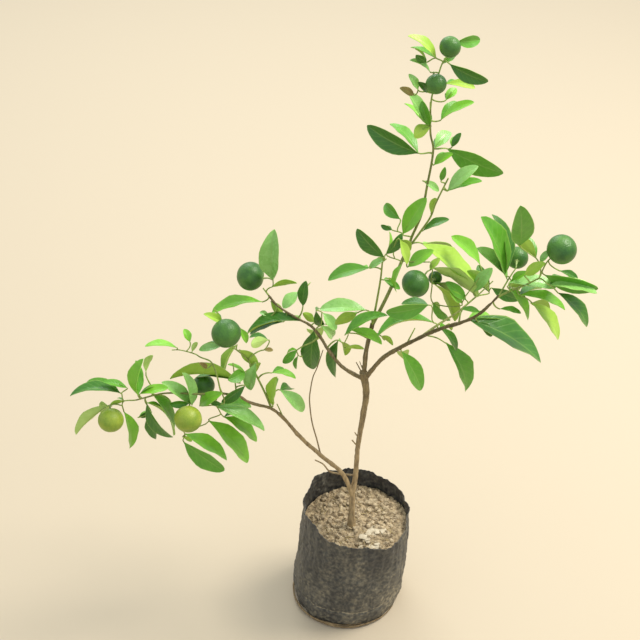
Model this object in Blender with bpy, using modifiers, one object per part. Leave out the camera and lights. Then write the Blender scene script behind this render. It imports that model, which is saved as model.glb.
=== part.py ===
"""Young orange tree in a black film nursery bag.

A slender trunk rises from the soil, sends out a long low bough near its foot and forks at mid height
into a left bough, a right bough and a central stem. Each limb is a tapering tube through a few places
along it, and each mass of leaves is one uneven, lobed solid round the shoots that carry it.
Metres, +Z up. The origin is the centre of the bag's flat underside.
"""

import math
import random

import bmesh
import bpy
from mathutils import Euler, Vector
from mathutils.geometry import interpolate_bezier

# Overall sizes
GAP = 0.0003
BAG_RADIUS = 0.0635
BAG_BULGE = 0.0035
RIM_RADIUS = 0.0615
RIM_HEIGHT = 0.136
RIM_TILT = 0.013
RIM_TILT_HEADING = math.radians(146)
RIM_OFFSET = Vector((0.011, 0.0, 0.0))
FILM_WALL = 0.0016
SOIL_HEIGHT = 0.1165
SOIL_RELIEF = 0.0022
SOIL_RIM_DIP = 0.004
TRUNK_FOOT = Vector((0.004, -0.012, SOIL_HEIGHT + 0.0035))

# Fineness of the faceted solids
BAG_SIDES = 28
BAG_LEVELS = 6
SOIL_RINGS = 5
LIMB_STEP = 0.014
LIMB_BEVEL = 2
MASS_SEGMENTS = 14
MASS_RINGS = 9

# Each limb: the limb it grows from, the radius at its foot and at its tip, and the places it passes
LIMBS = {
    "trunk": (None, 0.0037, 0.0034, [
        (0.004, -0.012, 0.120), (0.005, -0.010, 0.168), (0.008, -0.007, 0.195), (0.010, -0.004, 0.236),
        (0.014, -0.001, 0.270), (0.018, 0.000, 0.311), (0.0145, 0.001, 0.340)]),
    "low_bough": ("trunk", 0.0027, 0.0014, [
        (0.005, -0.0105, 0.166), (-0.007, -0.013, 0.203), (-0.031, -0.020, 0.237), (-0.054, -0.026, 0.270),
        (-0.070, -0.032, 0.300), (-0.084, -0.038, 0.321), (-0.107, -0.045, 0.336), (-0.120, -0.050, 0.352)]),
    "centre_stem": ("trunk", 0.0026, 0.0023, [
        (0.0152, 0.001, 0.334), (0.017, 0.002, 0.368), (0.023, 0.006, 0.402)]),
    "left_bough": ("trunk", 0.0023, 0.0011, [
        (0.0160, 0.000, 0.330), (-0.007, 0.012, 0.337), (-0.022, 0.025, 0.349), (-0.032, 0.035, 0.361),
        (-0.042, 0.042, 0.371), (-0.060, 0.052, 0.376), (-0.080, 0.062, 0.385), (-0.089, 0.067, 0.395)]),
    "right_bough": ("trunk", 0.0026, 0.0012, [
        (0.0152, 0.001, 0.328), (0.033, -0.012, 0.368), (0.054, -0.024, 0.395), (0.087, -0.042, 0.430),
        (0.113, -0.055, 0.451), (0.125, -0.060, 0.463), (0.135, -0.065, 0.479), (0.143, -0.068, 0.493)]),
    "right_tip_shoot": ("right_bough", 0.0011, 0.0008, [
        (0.1415, -0.0675, 0.490), (0.151, -0.072, 0.500), (0.163, -0.076, 0.509), (0.178, -0.078, 0.520)]),
    "right_back_bough": ("right_bough", 0.0014, 0.0009, [
        (0.069, -0.032, 0.411), (0.090, -0.015, 0.416), (0.111, 0.000, 0.421), (0.132, 0.015, 0.431)]),
    "left_outer_shoot": ("low_bough", 0.0013, 0.0008, [
        (-0.1165, -0.0485, 0.3475), (-0.138, -0.055, 0.357), (-0.157, -0.060, 0.360), (-0.193, -0.066, 0.366),
        (-0.222, -0.072, 0.362)]),
    "left_high_shoot": ("low_bough", 0.0012, 0.0008, [
        (-0.084, -0.038, 0.3205), (-0.091, -0.037, 0.343), (-0.103, -0.035, 0.374), (-0.110, -0.034, 0.388),
        (-0.119, -0.034, 0.398)]),
    "upright_shoot": ("centre_stem", 0.0013, 0.0008, [
        (0.0228, 0.006, 0.400), (0.026, -0.006, 0.437), (0.029, -0.016, 0.475), (0.030, -0.022, 0.500)]),
    "leader": ("centre_stem", 0.0020, 0.0017, [
        (0.0224, 0.0055, 0.399), (0.031, 0.012, 0.415), (0.042, 0.019, 0.439), (0.052, 0.026, 0.466),
        (0.060, 0.030, 0.486)]),
    "top_stem": ("leader", 0.0015, 0.0009, [
        (0.0595, 0.030, 0.483), (0.062, 0.030, 0.495), (0.071, 0.030, 0.523), (0.075, 0.030, 0.555),
        (0.079, 0.025, 0.602), (0.075, 0.020, 0.623), (0.073, 0.015, 0.660)]),
    "side_shoot": ("leader", 0.0012, 0.0008, [
        (0.0592, 0.030, 0.482), (0.070, 0.022, 0.507), (0.079, 0.015, 0.530), (0.083, 0.008, 0.551),
        (0.093, 0.001, 0.584)]),
}
FLARE_HEIGHT = 0.014
FLARE_GAIN = 0.42
FORK_SWELL = 0.28
FORK_LENGTH = 0.018

# Each mass: its centre, half length, half width, half depth, heading, climb, number of lobes and seed
MASSES = {
    "left_tip_leaves": ((-0.251, -0.080, 0.354), (0.042, 0.036, 0.032), 184, 26, 6, 3),
    "left_fruit_leaves": ((-0.190, -0.066, 0.358), (0.038, 0.042, 0.036), 165, 14, 6, 8),
    "left_low_leaves": ((-0.142, -0.092, 0.320), (0.058, 0.036, 0.025), -10, -26, 6, 4),
    "left_high_leaves": ((-0.152, -0.020, 0.392), (0.050, 0.036, 0.025), 178, 0, 7, 15),
    "left_inner_leaves": ((-0.090, -0.028, 0.362), (0.042, 0.042, 0.029), 200, 24, 6, 5),
    "bough_tip_leaves": ((-0.085, 0.074, 0.414), (0.066, 0.036, 0.031), 70, 76, 5, 12),
    "bough_side_leaves": ((-0.122, 0.056, 0.385), (0.036, 0.020, 0.010), 182, -4, 3, 20),
    "bough_middle_leaves": ((-0.046, 0.036, 0.358), (0.056, 0.040, 0.029), 196, 12, 7, 21),
    "centre_leaves": ((0.008, -0.024, 0.410), (0.044, 0.040, 0.018), 188, 4, 6, 2),
    "upright_leaves": ((0.014, -0.030, 0.508), (0.046, 0.038, 0.029), 176, -24, 6, 17),
    "leader_leaves": ((0.090, 0.018, 0.460), (0.048, 0.044, 0.036), -24, -16, 7, 9),
    "leader_fork_leaves": ((0.052, 0.034, 0.520), (0.030, 0.028, 0.021), 170, 30, 5, 6),
    "side_shoot_leaves": ((0.106, -0.002, 0.604), (0.042, 0.036, 0.026), -14, -8, 5, 14),
    "top_stem_leaf": ((0.040, 0.038, 0.604), (0.032, 0.020, 0.010), 158, 22, 3, 10),
    "top_leaves": ((0.081, 0.010, 0.686), (0.052, 0.050, 0.042), 60, 78, 7, 19),
    "right_inner_leaves": ((0.060, 0.002, 0.412), (0.035, 0.032, 0.016), 168, 0, 5, 23),
    "right_low_leaves": ((0.145, -0.074, 0.444), (0.057, 0.042, 0.025), -22, -24, 6, 7),
    "right_high_leaves": ((0.146, -0.042, 0.526), (0.048, 0.040, 0.024), 66, 56, 5, 11),
    "right_tip_leaves": ((0.194, -0.078, 0.517), (0.050, 0.044, 0.040), -6, -12, 7, 16),
    "right_hanging_leaves": ((0.104, -0.038, 0.389), (0.033, 0.022, 0.012), -30, -70, 3, 13),
    "right_under_leaf": ((0.064, -0.030, 0.368), (0.024, 0.016, 0.009), -30, -70, 3, 22),
    "right_back_leaves": ((0.150, 0.034, 0.444), (0.037, 0.034, 0.020), 34, 14, 6, 18),
}
LOBE_FLOOR = 0.55
LOBE_WIDTH = 0.16
LOBE_JITTER = 0.30
LOBE_LIFT = 0.45
LOBE_REACH = (0.80, 1.0)
MASS_CUT_GAP = 0.0005

SOLIDS = bpy.data.collections.new("potted_orange_tree")


def clear_scene():
    for old in list(bpy.data.objects):
        bpy.data.objects.remove(old, do_unlink=True)
    bpy.context.scene.collection.children.link(SOLIDS)


def material(name, colour, roughness, metallic=0.0):
    """One plain Principled material for a sub-part."""
    made = bpy.data.materials.new(name)
    made.use_nodes = True
    shader = made.node_tree.nodes["Principled BSDF"]
    shader.inputs["Base Color"].default_value = (*colour, 1.0)
    shader.inputs["Roughness"].default_value = roughness
    shader.inputs["Metallic"].default_value = metallic
    return made


def solid(name, mesh, finish=None):
    """A named object for a mesh, in the tree's collection."""
    made = bpy.data.objects.new(name, mesh)
    SOLIDS.objects.link(made)
    if finish:
        mesh.materials.clear()
        mesh.materials.append(finish)
    return made


def discard(made):
    mesh = made.data
    bpy.data.objects.remove(made, do_unlink=True)
    if mesh.users == 0:
        bpy.data.meshes.remove(mesh)


def evaluated_mesh(made):
    graph = bpy.context.evaluated_depsgraph_get()
    return bpy.data.meshes.new_from_object(made.evaluated_get(graph))


# The bag and its soil

def rim_height(angle):
    """The torn rim stands highest at the back left, with two shallow dips."""
    lean = RIM_TILT * math.cos(angle - RIM_TILT_HEADING)
    folds = 0.0022 * math.sin(3 * angle + 0.6) + 0.0012 * math.sin(5 * angle + 2.0)
    return RIM_HEIGHT + lean + folds


def bag_point(angle, share, inset=0.0, top=None):
    """A place on the bag's wall: share 0 is its foot, 1 its rim."""
    height = (top if top is not None else rim_height(angle)) * share
    level = height / RIM_HEIGHT
    radius = BAG_RADIUS + (RIM_RADIUS - BAG_RADIUS) * level
    radius += BAG_BULGE * math.sin(math.pi * min(1.0, level + 0.08)) * (1.0 - level)
    radius += 0.0012 * math.sin(2 * angle + 1.0) + 0.0008 * math.sin(5 * angle) * level
    radius -= 0.0030 * max(0.0, 1.0 - level / 0.10)
    spot = Vector(((radius - inset) * math.cos(angle), (radius - inset) * math.sin(angle), height))
    return spot + RIM_OFFSET * level


def ring(mesh, places):
    return [mesh.verts.new(place) for place in places]


def skin(mesh, lower, upper):
    for i in range(len(lower)):
        j = (i + 1) % len(lower)
        mesh.faces.new((lower[i], lower[j], upper[j], upper[i]))


def angles():
    return [2 * math.pi * i / BAG_SIDES for i in range(BAG_SIDES)]


def make_bag():
    """An open cup of film: flat underside, bulging wall and uneven rim, thickened inwards."""
    mesh = bmesh.new()
    rings = []
    for level in range(BAG_LEVELS + 1):
        share = (level / BAG_LEVELS) ** 1.15
        rings.append(ring(mesh, [bag_point(angle, share) for angle in angles()]))
    for lower, upper in zip(rings, rings[1:]):
        skin(mesh, lower, upper)
    middle = mesh.verts.new((0.0, 0.0, 0.0))
    foot = rings[0]
    for i in range(BAG_SIDES):
        mesh.faces.new((foot[(i + 1) % BAG_SIDES], foot[i], middle))
    data = bpy.data.meshes.new("bag")
    mesh.to_mesh(data)
    mesh.free()
    film = solid("bag", data, material("bag_film", (0.055, 0.052, 0.045), 0.45))
    wall = film.modifiers.new("wall", "SOLIDIFY")
    wall.thickness = FILM_WALL
    wall.offset = -1.0
    wall.use_even_offset = True
    data.shade_smooth()
    data.set_sharp_from_angle(angle=math.radians(50))
    return film


def soil_height(place):
    """Low clods, a level patch round the trunk's foot and a dip towards the bag's wall."""
    clods = math.sin(place.x * 210 + 1.1) * math.cos(place.y * 190 + 0.4)
    near_trunk = math.exp(-((place - TRUNK_FOOT).xy.length / 0.012) ** 2)
    reach = (place - RIM_OFFSET * 0.85).xy.length / RIM_RADIUS
    level = SOIL_HEIGHT + SOIL_RELIEF * clods * (1.0 - near_trunk) - SOIL_RIM_DIP * max(0.0, reach - 0.55)
    return level + (TRUNK_FOOT.z - GAP - SOIL_HEIGHT) * min(1.0, near_trunk * 1.6)


def make_soil():
    """The soil that fills the bag, with its uneven top."""
    inset = FILM_WALL * 1.25 + 2 * GAP
    mesh = bmesh.new()
    rings = []
    top = SOIL_HEIGHT - SOIL_RIM_DIP * 0.45
    for level in range(BAG_LEVELS + 1):
        share = (level / BAG_LEVELS) ** 1.15
        places = [bag_point(angle, share, inset, top) for angle in angles()]
        for place in places:
            place.z = FILM_WALL + GAP + place.z * (top - FILM_WALL - GAP) / top
        rings.append(ring(mesh, places))
    centre = TRUNK_FOOT.copy()
    edge = [vert.co.copy() for vert in rings[-1]]
    for step in range(1, SOIL_RINGS + 1):
        share = 1.0 - step / (SOIL_RINGS + 1)
        places = [centre.lerp(spot, share) for spot in edge]
        for place in places:
            place.z = soil_height(place)
        rings.append(ring(mesh, places))
    for lower, upper in zip(rings, rings[1:]):
        skin(mesh, lower, upper)
    foot = rings[0]
    mesh.faces.new(list(reversed(foot)))
    crest = mesh.verts.new((centre.x, centre.y, soil_height(centre)))
    last = rings[-1]
    for i in range(BAG_SIDES):
        mesh.faces.new((last[i], last[(i + 1) % BAG_SIDES], crest))
    bmesh.ops.triangulate(mesh, faces=mesh.faces[:])
    data = bpy.data.meshes.new("soil")
    mesh.to_mesh(data)
    mesh.free()
    return solid("soil", data, material("dry_soil", (0.46, 0.36, 0.23), 0.95))


# Trunk and boughs

def smooth_path(places):
    """Evenly spaced points along a smooth curve through the given places."""
    spots = [Vector(place) for place in places]
    dense = []
    for i in range(len(spots) - 1):
        before = spots[max(0, i - 1)]
        after = spots[min(len(spots) - 1, i + 2)]
        start, end = spots[i], spots[i + 1]
        pull = (end - start).length / 3
        first = start + (end - before).normalized() * pull
        second = end - (after - start).normalized() * pull
        dense += interpolate_bezier(start, first, second, end, 12)[:-1]
    dense.append(spots[-1])
    length = sum((b - a).length for a, b in zip(dense, dense[1:]))
    count = max(3, round(length / LIMB_STEP))
    path, walked, index = [dense[0]], 0.0, 0
    for step in range(1, count):
        goal = length * step / count
        while walked + (dense[index + 1] - dense[index]).length < goal:
            walked += (dense[index + 1] - dense[index]).length
            index += 1
        part = (goal - walked) / (dense[index + 1] - dense[index]).length
        path.append(dense[index].lerp(dense[index + 1], part))
    return path + [dense[-1]]


def limb_radii(name, path):
    """An even taper, with the root flare at the trunk's foot and a swelling at its fork."""
    _, foot, tip, _ = LIMBS[name]
    radii = []
    for i, spot in enumerate(path):
        share = i / (len(path) - 1)
        radius = foot + (tip - foot) * share
        if name == "trunk":
            radius = foot - 0.0008 * math.sin(math.pi * min(1.0, share * 1.15))
            radius *= 1.0 + FLARE_GAIN * math.exp(-(spot.z - TRUNK_FOOT.z) / FLARE_HEIGHT)
            radius *= 1.0 + FORK_SWELL * math.exp(-(path[-1] - spot).length / FORK_LENGTH)
        radii.append(radius)
    return radii


def tube(name, extra=0.0):
    """The limb as a closed tube; extra widens and lengthens it for use as a cutter."""
    path = smooth_path(LIMBS[name][3])
    radii = limb_radii(name, path)
    if extra:
        path[-1] = path[-1] + (path[-1] - path[-2]).normalized() * extra
        path[0] = path[0] + (path[0] - path[1]).normalized() * extra
    curve = bpy.data.curves.new(name, "CURVE")
    curve.dimensions = "3D"
    curve.bevel_depth = 1.0
    curve.bevel_resolution = LIMB_BEVEL
    curve.use_fill_caps = True
    spline = curve.splines.new("POLY")
    spline.points.add(len(path) - 1)
    for point, spot, radius in zip(spline.points, path, radii):
        point.co = (*spot, 1.0)
        point.radius = radius + extra
    drawn = bpy.data.objects.new(name, curve)
    SOLIDS.objects.link(drawn)
    data = evaluated_mesh(drawn)
    bpy.data.objects.remove(drawn, do_unlink=True)
    bpy.data.curves.remove(curve)
    mesh = bmesh.new()
    mesh.from_mesh(data)
    bmesh.ops.remove_doubles(mesh, verts=mesh.verts[:], dist=0.00001)
    bmesh.ops.recalc_face_normals(mesh, faces=mesh.faces[:])
    mesh.to_mesh(data)
    mesh.free()
    return solid(name, data)


def level_foot(made, height):
    """Cuts the trunk flat and level where it stands on the soil."""
    mesh = bmesh.new()
    mesh.from_mesh(made.data)
    everything = mesh.verts[:] + mesh.edges[:] + mesh.faces[:]
    cut = bmesh.ops.bisect_plane(mesh, geom=everything, plane_co=(0, 0, height), plane_no=(0, 0, 1),
                                 clear_inner=True)
    rim = [item for item in cut["geom_cut"] if isinstance(item, bmesh.types.BMEdge)]
    bmesh.ops.contextual_create(mesh, geom=rim)
    bmesh.ops.recalc_face_normals(mesh, faces=mesh.faces[:])
    mesh.to_mesh(made.data)
    mesh.free()


# Cutting neighbours clear of each other

def near(first, second):
    """Whether two objects' boxes meet."""
    def box(made):
        spots = [vert.co for vert in made.data.vertices]
        return [(min(s[k] for s in spots), max(s[k] for s in spots)) for k in range(3)]
    return all(a[0] < b[1] and b[0] < a[1] for a, b in zip(box(first), box(second)))


def cut_away(made, cutter):
    """Takes the cutter's shape out of a solid, then drops the cutter."""
    if near(made, cutter):
        trim = made.modifiers.new("cut", "BOOLEAN")
        trim.operation = "DIFFERENCE"
        trim.solver = "EXACT"
        trim.object = cutter
        fresh = evaluated_mesh(made)
        made.modifiers.remove(trim)
        old = made.data
        made.data = fresh
        bpy.data.meshes.remove(old)
    discard(cutter)


def keep_largest(made):
    """Keeps the largest loose part, so that a cut never leaves chips."""
    mesh = bmesh.new()
    mesh.from_mesh(made.data)
    bmesh.ops.remove_doubles(mesh, verts=mesh.verts[:], dist=0.00002)
    bmesh.ops.dissolve_degenerate(mesh, edges=mesh.edges[:], dist=0.00002)
    left = set(mesh.faces)
    groups = []
    while left:
        group, edge = set(), {left.pop()}
        while edge:
            face = edge.pop()
            group.add(face)
            for side in face.edges:
                for other in side.link_faces:
                    if other in left:
                        left.remove(other)
                        edge.add(other)
        groups.append(group)
    groups.sort(key=lambda group: sum(face.calc_area() for face in group))
    for group in groups[:-1]:
        bmesh.ops.delete(mesh, geom=list(group), context="FACES")
    bmesh.ops.triangulate(mesh, faces=mesh.faces[:])
    mesh.to_mesh(made.data)
    mesh.free()


def swollen_copy(made, extra):
    """A copy of a solid, swollen by the gap that its neighbour keeps."""
    data = made.data.copy()
    shifts = [vert.normal * extra for vert in data.vertices]
    for vert, shift in zip(data.vertices, shifts):
        vert.co += shift
    return solid(made.name + "_cutter", data)


def make_limbs():
    bark = {
        "trunk": material("trunk_bark", (0.36, 0.26, 0.15), 0.85),
        "old": material("bough_bark", (0.27, 0.21, 0.10), 0.80),
        "young": material("shoot_bark", (0.20, 0.22, 0.06), 0.65),
    }
    kinds = {"trunk": "trunk", "low_bough": "old", "centre_stem": "old", "left_bough": "old", "right_bough": "old"}
    made = {}
    for name in LIMBS:
        limb = tube(name)
        if name == "trunk":
            level_foot(limb, TRUNK_FOOT.z)
        for other in made:
            cut_away(limb, tube(other, GAP))
        keep_largest(limb)
        limb.name = name
        limb.data.name = name
        limb.data.materials.clear()
        limb.data.materials.append(bark[kinds.get(name, "young")])
        limb.data.shade_smooth()
        limb.data.set_sharp_from_angle(angle=math.radians(50))
        made[name] = limb
    return made


# Masses of leaves

def lobe_directions(count, seed):
    """The spray's own tip, and other lobes spread round the pad."""
    dice = random.Random(seed)
    lobes = [(Vector((1.0, 0.0, 0.0)), 1.0)]
    for i in range(1, count):
        turn = 2 * math.pi * i / count + dice.uniform(-LOBE_JITTER, LOBE_JITTER)
        lift = dice.uniform(-LOBE_LIFT, LOBE_LIFT)
        way = Vector((math.cos(turn) * math.cos(lift), math.sin(turn) * math.cos(lift), math.sin(lift)))
        lobes.append((way, dice.uniform(*LOBE_REACH)))
    return lobes


def lobed_reach(way, lobes):
    """How far the mass reaches along a unit direction, as a share of its full size."""
    best = 0.0
    for lobe, reach in lobes:
        best = max(best, reach * math.exp((way.dot(lobe) - 1.0) / LOBE_WIDTH))
    return LOBE_FLOOR + (1.0 - LOBE_FLOOR) * best


def make_mass(name, finish):
    """A lobed pad: a sphere drawn in between its lobes, flattened and turned to its heading."""
    place, half, heading, climb, count, seed = MASSES[name]
    lobes = lobe_directions(count, seed)
    mesh = bmesh.new()
    bmesh.ops.create_uvsphere(mesh, u_segments=MASS_SEGMENTS, v_segments=MASS_RINGS, radius=1.0)
    turn = Euler((0.0, -math.radians(climb), math.radians(heading))).to_matrix()
    for vert in mesh.verts:
        way = vert.co.normalized()
        share = lobed_reach(way, lobes)
        vert.co = turn @ Vector([way[k] * half[k] * share for k in range(3)]) + Vector(place)
    bmesh.ops.triangulate(mesh, faces=mesh.faces[:])
    data = bpy.data.meshes.new(name)
    mesh.to_mesh(data)
    mesh.free()
    return solid(name, data, finish)


def make_masses():
    """Each mass is cut clear of the limbs and of the masses made before it."""
    finish = material("leaf_mass", (0.13, 0.33, 0.06), 0.60)
    made = []
    for name in MASSES:
        mass = make_mass(name, finish)
        for limb in LIMBS:
            cut_away(mass, tube(limb, GAP))
        for other in made:
            if near(mass, other):
                cut_away(mass, swollen_copy(other, MASS_CUT_GAP))
        keep_largest(mass)
        mass.name = name
        mass.data.name = name
        mass.data.materials.clear()
        mass.data.materials.append(finish)
        made.append(mass)
    return made


def main():
    clear_scene()
    make_bag()
    make_soil()
    make_limbs()
    make_masses()


main()
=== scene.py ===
import functools
import math
import random
from collections import namedtuple

import bpy
import numpy as np
from bpy.props import FloatProperty, FloatVectorProperty, IntProperty, PointerProperty
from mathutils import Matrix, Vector, noise
from mathutils.geometry import interpolate_bezier


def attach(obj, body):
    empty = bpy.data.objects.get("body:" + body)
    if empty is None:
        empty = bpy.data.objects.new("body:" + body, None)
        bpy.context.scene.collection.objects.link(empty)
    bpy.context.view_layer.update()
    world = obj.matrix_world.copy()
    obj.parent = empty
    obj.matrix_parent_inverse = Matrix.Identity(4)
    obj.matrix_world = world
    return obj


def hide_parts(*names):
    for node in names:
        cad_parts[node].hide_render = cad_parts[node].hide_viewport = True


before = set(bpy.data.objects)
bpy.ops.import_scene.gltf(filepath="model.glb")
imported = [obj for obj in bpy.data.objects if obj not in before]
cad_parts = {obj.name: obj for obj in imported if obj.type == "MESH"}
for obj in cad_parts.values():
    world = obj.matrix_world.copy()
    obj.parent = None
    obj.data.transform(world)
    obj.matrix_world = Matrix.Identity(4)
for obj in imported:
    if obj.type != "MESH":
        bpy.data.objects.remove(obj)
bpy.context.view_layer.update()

bl_info = {
    "name": "Potted orange tree",
    "version": (1, 0, 0),
    "blender": (4, 5, 0),
    "location": "View3D > Sidebar > Orange tree",
    "description": "A young orange tree with green fruit in a film nursery bag",
    "category": "Add Mesh",
}

# The camera, and places seen from it

PHOTO_SIDE = 640
LENS = 80.0
SENSOR = 36.0
FOCAL = PHOTO_SIDE * LENS / SENSOR
CAMERA_PLACE = Vector((-0.03246, -1.19364, 1.31056))
LOOK_DOWN = math.radians(37)
AHEAD = Vector((0.0, math.cos(LOOK_DOWN), -math.sin(LOOK_DOWN)))
BELOW = Vector((0.0, -math.sin(LOOK_DOWN), -math.cos(LOOK_DOWN)))
UP = Vector((0.0, 0.0, 1.0))


def seen(u, v, depth):
    """The place at that depth, its y, which shows at pixel (u, v)."""
    across = (u - PHOTO_SIDE / 2) / FOCAL
    down = (v - PHOTO_SIDE / 2) / FOCAL
    way = Vector((across, 0.0, 0.0)) + AHEAD + BELOW * down
    return CAMERA_PLACE + way * ((depth - CAMERA_PLACE.y) / way.y)


def pixel_of(place):
    """The pixel at which a place shows."""
    offset = place - CAMERA_PLACE
    ahead = offset.dot(AHEAD)
    across = PHOTO_SIDE / 2 + FOCAL * offset.x / ahead
    down = PHOTO_SIDE / 2 + FOCAL * offset.dot(BELOW) / ahead
    return Vector((across, down))


# Limbs: the radius at the foot and at the tip, and the places that each passes, as in the solids

LIMBS = {
    "trunk": (0.0037, 0.0034, [
        (0.004, -0.012, 0.120), (0.005, -0.010, 0.168), (0.008, -0.007, 0.195), (0.010, -0.004, 0.236),
        (0.014, -0.001, 0.270), (0.018, 0.000, 0.311), (0.0145, 0.001, 0.340)]),
    "low_bough": (0.0027, 0.0014, [
        (0.005, -0.0105, 0.166), (-0.007, -0.013, 0.203), (-0.031, -0.020, 0.237), (-0.054, -0.026, 0.270),
        (-0.070, -0.032, 0.300), (-0.084, -0.038, 0.321), (-0.107, -0.045, 0.336), (-0.120, -0.050, 0.352)]),
    "centre_stem": (0.0026, 0.0023, [
        (0.0152, 0.001, 0.334), (0.017, 0.002, 0.368), (0.023, 0.006, 0.402)]),
    "left_bough": (0.0023, 0.0011, [
        (0.0160, 0.000, 0.330), (-0.007, 0.012, 0.337), (-0.022, 0.025, 0.349), (-0.032, 0.035, 0.361),
        (-0.042, 0.042, 0.371), (-0.060, 0.052, 0.376), (-0.080, 0.062, 0.385), (-0.089, 0.067, 0.395)]),
    "right_bough": (0.0026, 0.0012, [
        (0.0152, 0.001, 0.328), (0.033, -0.012, 0.368), (0.054, -0.024, 0.395), (0.087, -0.042, 0.430),
        (0.113, -0.055, 0.451), (0.125, -0.060, 0.463), (0.135, -0.065, 0.479), (0.143, -0.068, 0.493)]),
    "right_tip_shoot": (0.0011, 0.0008, [
        (0.1415, -0.0675, 0.490), (0.151, -0.072, 0.500), (0.163, -0.076, 0.509), (0.178, -0.078, 0.520)]),
    "right_back_bough": (0.0014, 0.0009, [
        (0.069, -0.032, 0.411), (0.090, -0.015, 0.416), (0.111, 0.000, 0.421), (0.132, 0.015, 0.431)]),
    "left_outer_shoot": (0.0013, 0.0008, [
        (-0.1165, -0.0485, 0.3475), (-0.138, -0.055, 0.357), (-0.157, -0.060, 0.360),
        (-0.193, -0.066, 0.366), (-0.222, -0.072, 0.362)]),
    "left_high_shoot": (0.0012, 0.0008, [
        (-0.084, -0.038, 0.3205), (-0.091, -0.037, 0.343), (-0.103, -0.035, 0.374), (-0.110, -0.034, 0.388),
        (-0.119, -0.034, 0.398)]),
    "upright_shoot": (0.0013, 0.0008, [
        (0.0228, 0.006, 0.400), (0.026, -0.006, 0.437), (0.029, -0.016, 0.475), (0.030, -0.022, 0.500)]),
    "leader": (0.0020, 0.0017, [
        (0.0224, 0.0055, 0.399), (0.031, 0.012, 0.415), (0.042, 0.019, 0.439), (0.052, 0.026, 0.466),
        (0.060, 0.030, 0.486)]),
    "top_stem": (0.0015, 0.0009, [
        (0.0595, 0.030, 0.483), (0.062, 0.030, 0.495), (0.071, 0.030, 0.523), (0.075, 0.030, 0.555),
        (0.079, 0.025, 0.602), (0.075, 0.020, 0.623), (0.073, 0.015, 0.660)]),
    "side_shoot": (0.0012, 0.0008, [
        (0.0592, 0.030, 0.482), (0.070, 0.022, 0.507), (0.079, 0.015, 0.530), (0.083, 0.008, 0.551),
        (0.093, 0.001, 0.584)]),
}
BARK_LIMBS = ("trunk", "low_bough", "centre_stem", "left_bough", "right_bough")
BOUGH_LIMBS = ("leader", "top_stem", "right_back_bough", "left_outer_shoot")
GREEN_LIMBS = ("right_tip_shoot", "left_high_shoot", "upright_shoot", "side_shoot")
TRUNK_FOOT = Vector(LIMBS["trunk"][2][0])
FLARE_HEIGHT = 0.014
FLARE_GAIN = 0.42
FORK_SWELL = 0.28
FORK_LENGTH = 0.018
TRUNK_WAIST = 0.0008
WAIST_SPAN = 1.15
TRUNK_SINK = 0.006
SUNK_GAIN = 1.25

Route = namedtuple("Route", "path radii")


def smooth_route(places, foot, tip, steps=10):
    """A smooth path through the places, tapering evenly from foot to tip."""
    spots = [Vector(place) for place in places]
    path = []
    for i in range(len(spots) - 1):
        start, end = spots[i], spots[i + 1]
        pull = (end - start).length / 3
        first = start + (end - spots[max(0, i - 1)]).normalized() * pull
        second = end - (spots[min(len(spots) - 1, i + 2)] - start).normalized() * pull
        path += interpolate_bezier(start, first, second, end, steps)[:-1]
    path.append(spots[-1])
    last = len(path) - 1
    return Route(path, [foot + (tip - foot) * i / last for i in range(last + 1)])


def limb_route(name):
    """A limb's path; the trunk has a flare at its foot, a waist, and a swelling at its fork."""
    foot, tip, places = LIMBS[name]
    route = smooth_route(places, foot, tip)
    if name != "trunk":
        return route
    radii = []
    for i, spot in enumerate(route.path):
        share = i / (len(route.path) - 1)
        radius = foot - TRUNK_WAIST * math.sin(math.pi * min(1.0, share * WAIST_SPAN))
        radius *= 1.0 + FLARE_GAIN * math.exp(-(spot.z - TRUNK_FOOT.z) / FLARE_HEIGHT)
        radius *= 1.0 + FORK_SWELL * math.exp(-(route.path[-1] - spot).length / FORK_LENGTH)
        radii.append(radius)
    start = route.path[0] - UP * TRUNK_SINK
    return Route([start] + route.path, [radii[0] * SUNK_GAIN] + radii)


# Twigs that the solids leave out: the limb that each leaves, its radius at foot and tip, how far its
# tip lies behind its foot, and the pixels that it passes

TWIGS = {
    "top_tip": ("top_stem", 0.0009, 0.0007, -0.012, [
        (430, 110), (432, 96), (437, 80), (442, 64), (448, 55)]),
    "left_twig_up": ("low_bough", 0.0009, 0.0006, 0.006, [(245, 370), (233, 363)]),
    "left_twig_back": ("left_outer_shoot", 0.0009, 0.0005, 0.020, [
        (224, 368), (212, 363), (200, 357), (195, 354), (180, 350), (172, 350)]),
    "left_twig_low": ("low_bough", 0.0008, 0.0006, -0.004, [(286, 417), (277, 404)]),
    "middle_twig": ("right_bough", 0.0009, 0.0006, 0.008, [(405, 343), (415, 328)]),
    "right_twig": ("right_bough", 0.0010, 0.0006, 0.018, [(455, 313), (462, 310), (478, 295), (493, 281)]),
    "droop_twig": ("right_bough", 0.0008, 0.0006, -0.006, [(428, 337), (437, 338), (447, 344)]),
    "bough_end": ("left_bough", 0.0010, 0.0007, 0.003, [(268, 295), (263, 288)]),
    "right_rise": ("right_bough", 0.0009, 0.0006, 0.010, [(497, 292), (508, 280), (516, 268)]),
    "tip_end": ("right_tip_shoot", 0.0008, 0.0006, 0.002, [(540, 270), (547, 262), (556, 254)]),
    "centre_twig": ("centre_stem", 0.0009, 0.0006, -0.012, [(372, 340), (358, 334), (348, 333)]),
    "leader_twig": ("leader", 0.0009, 0.0006, -0.014, [(402, 262), (416, 262), (430, 262)]),
}
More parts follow.
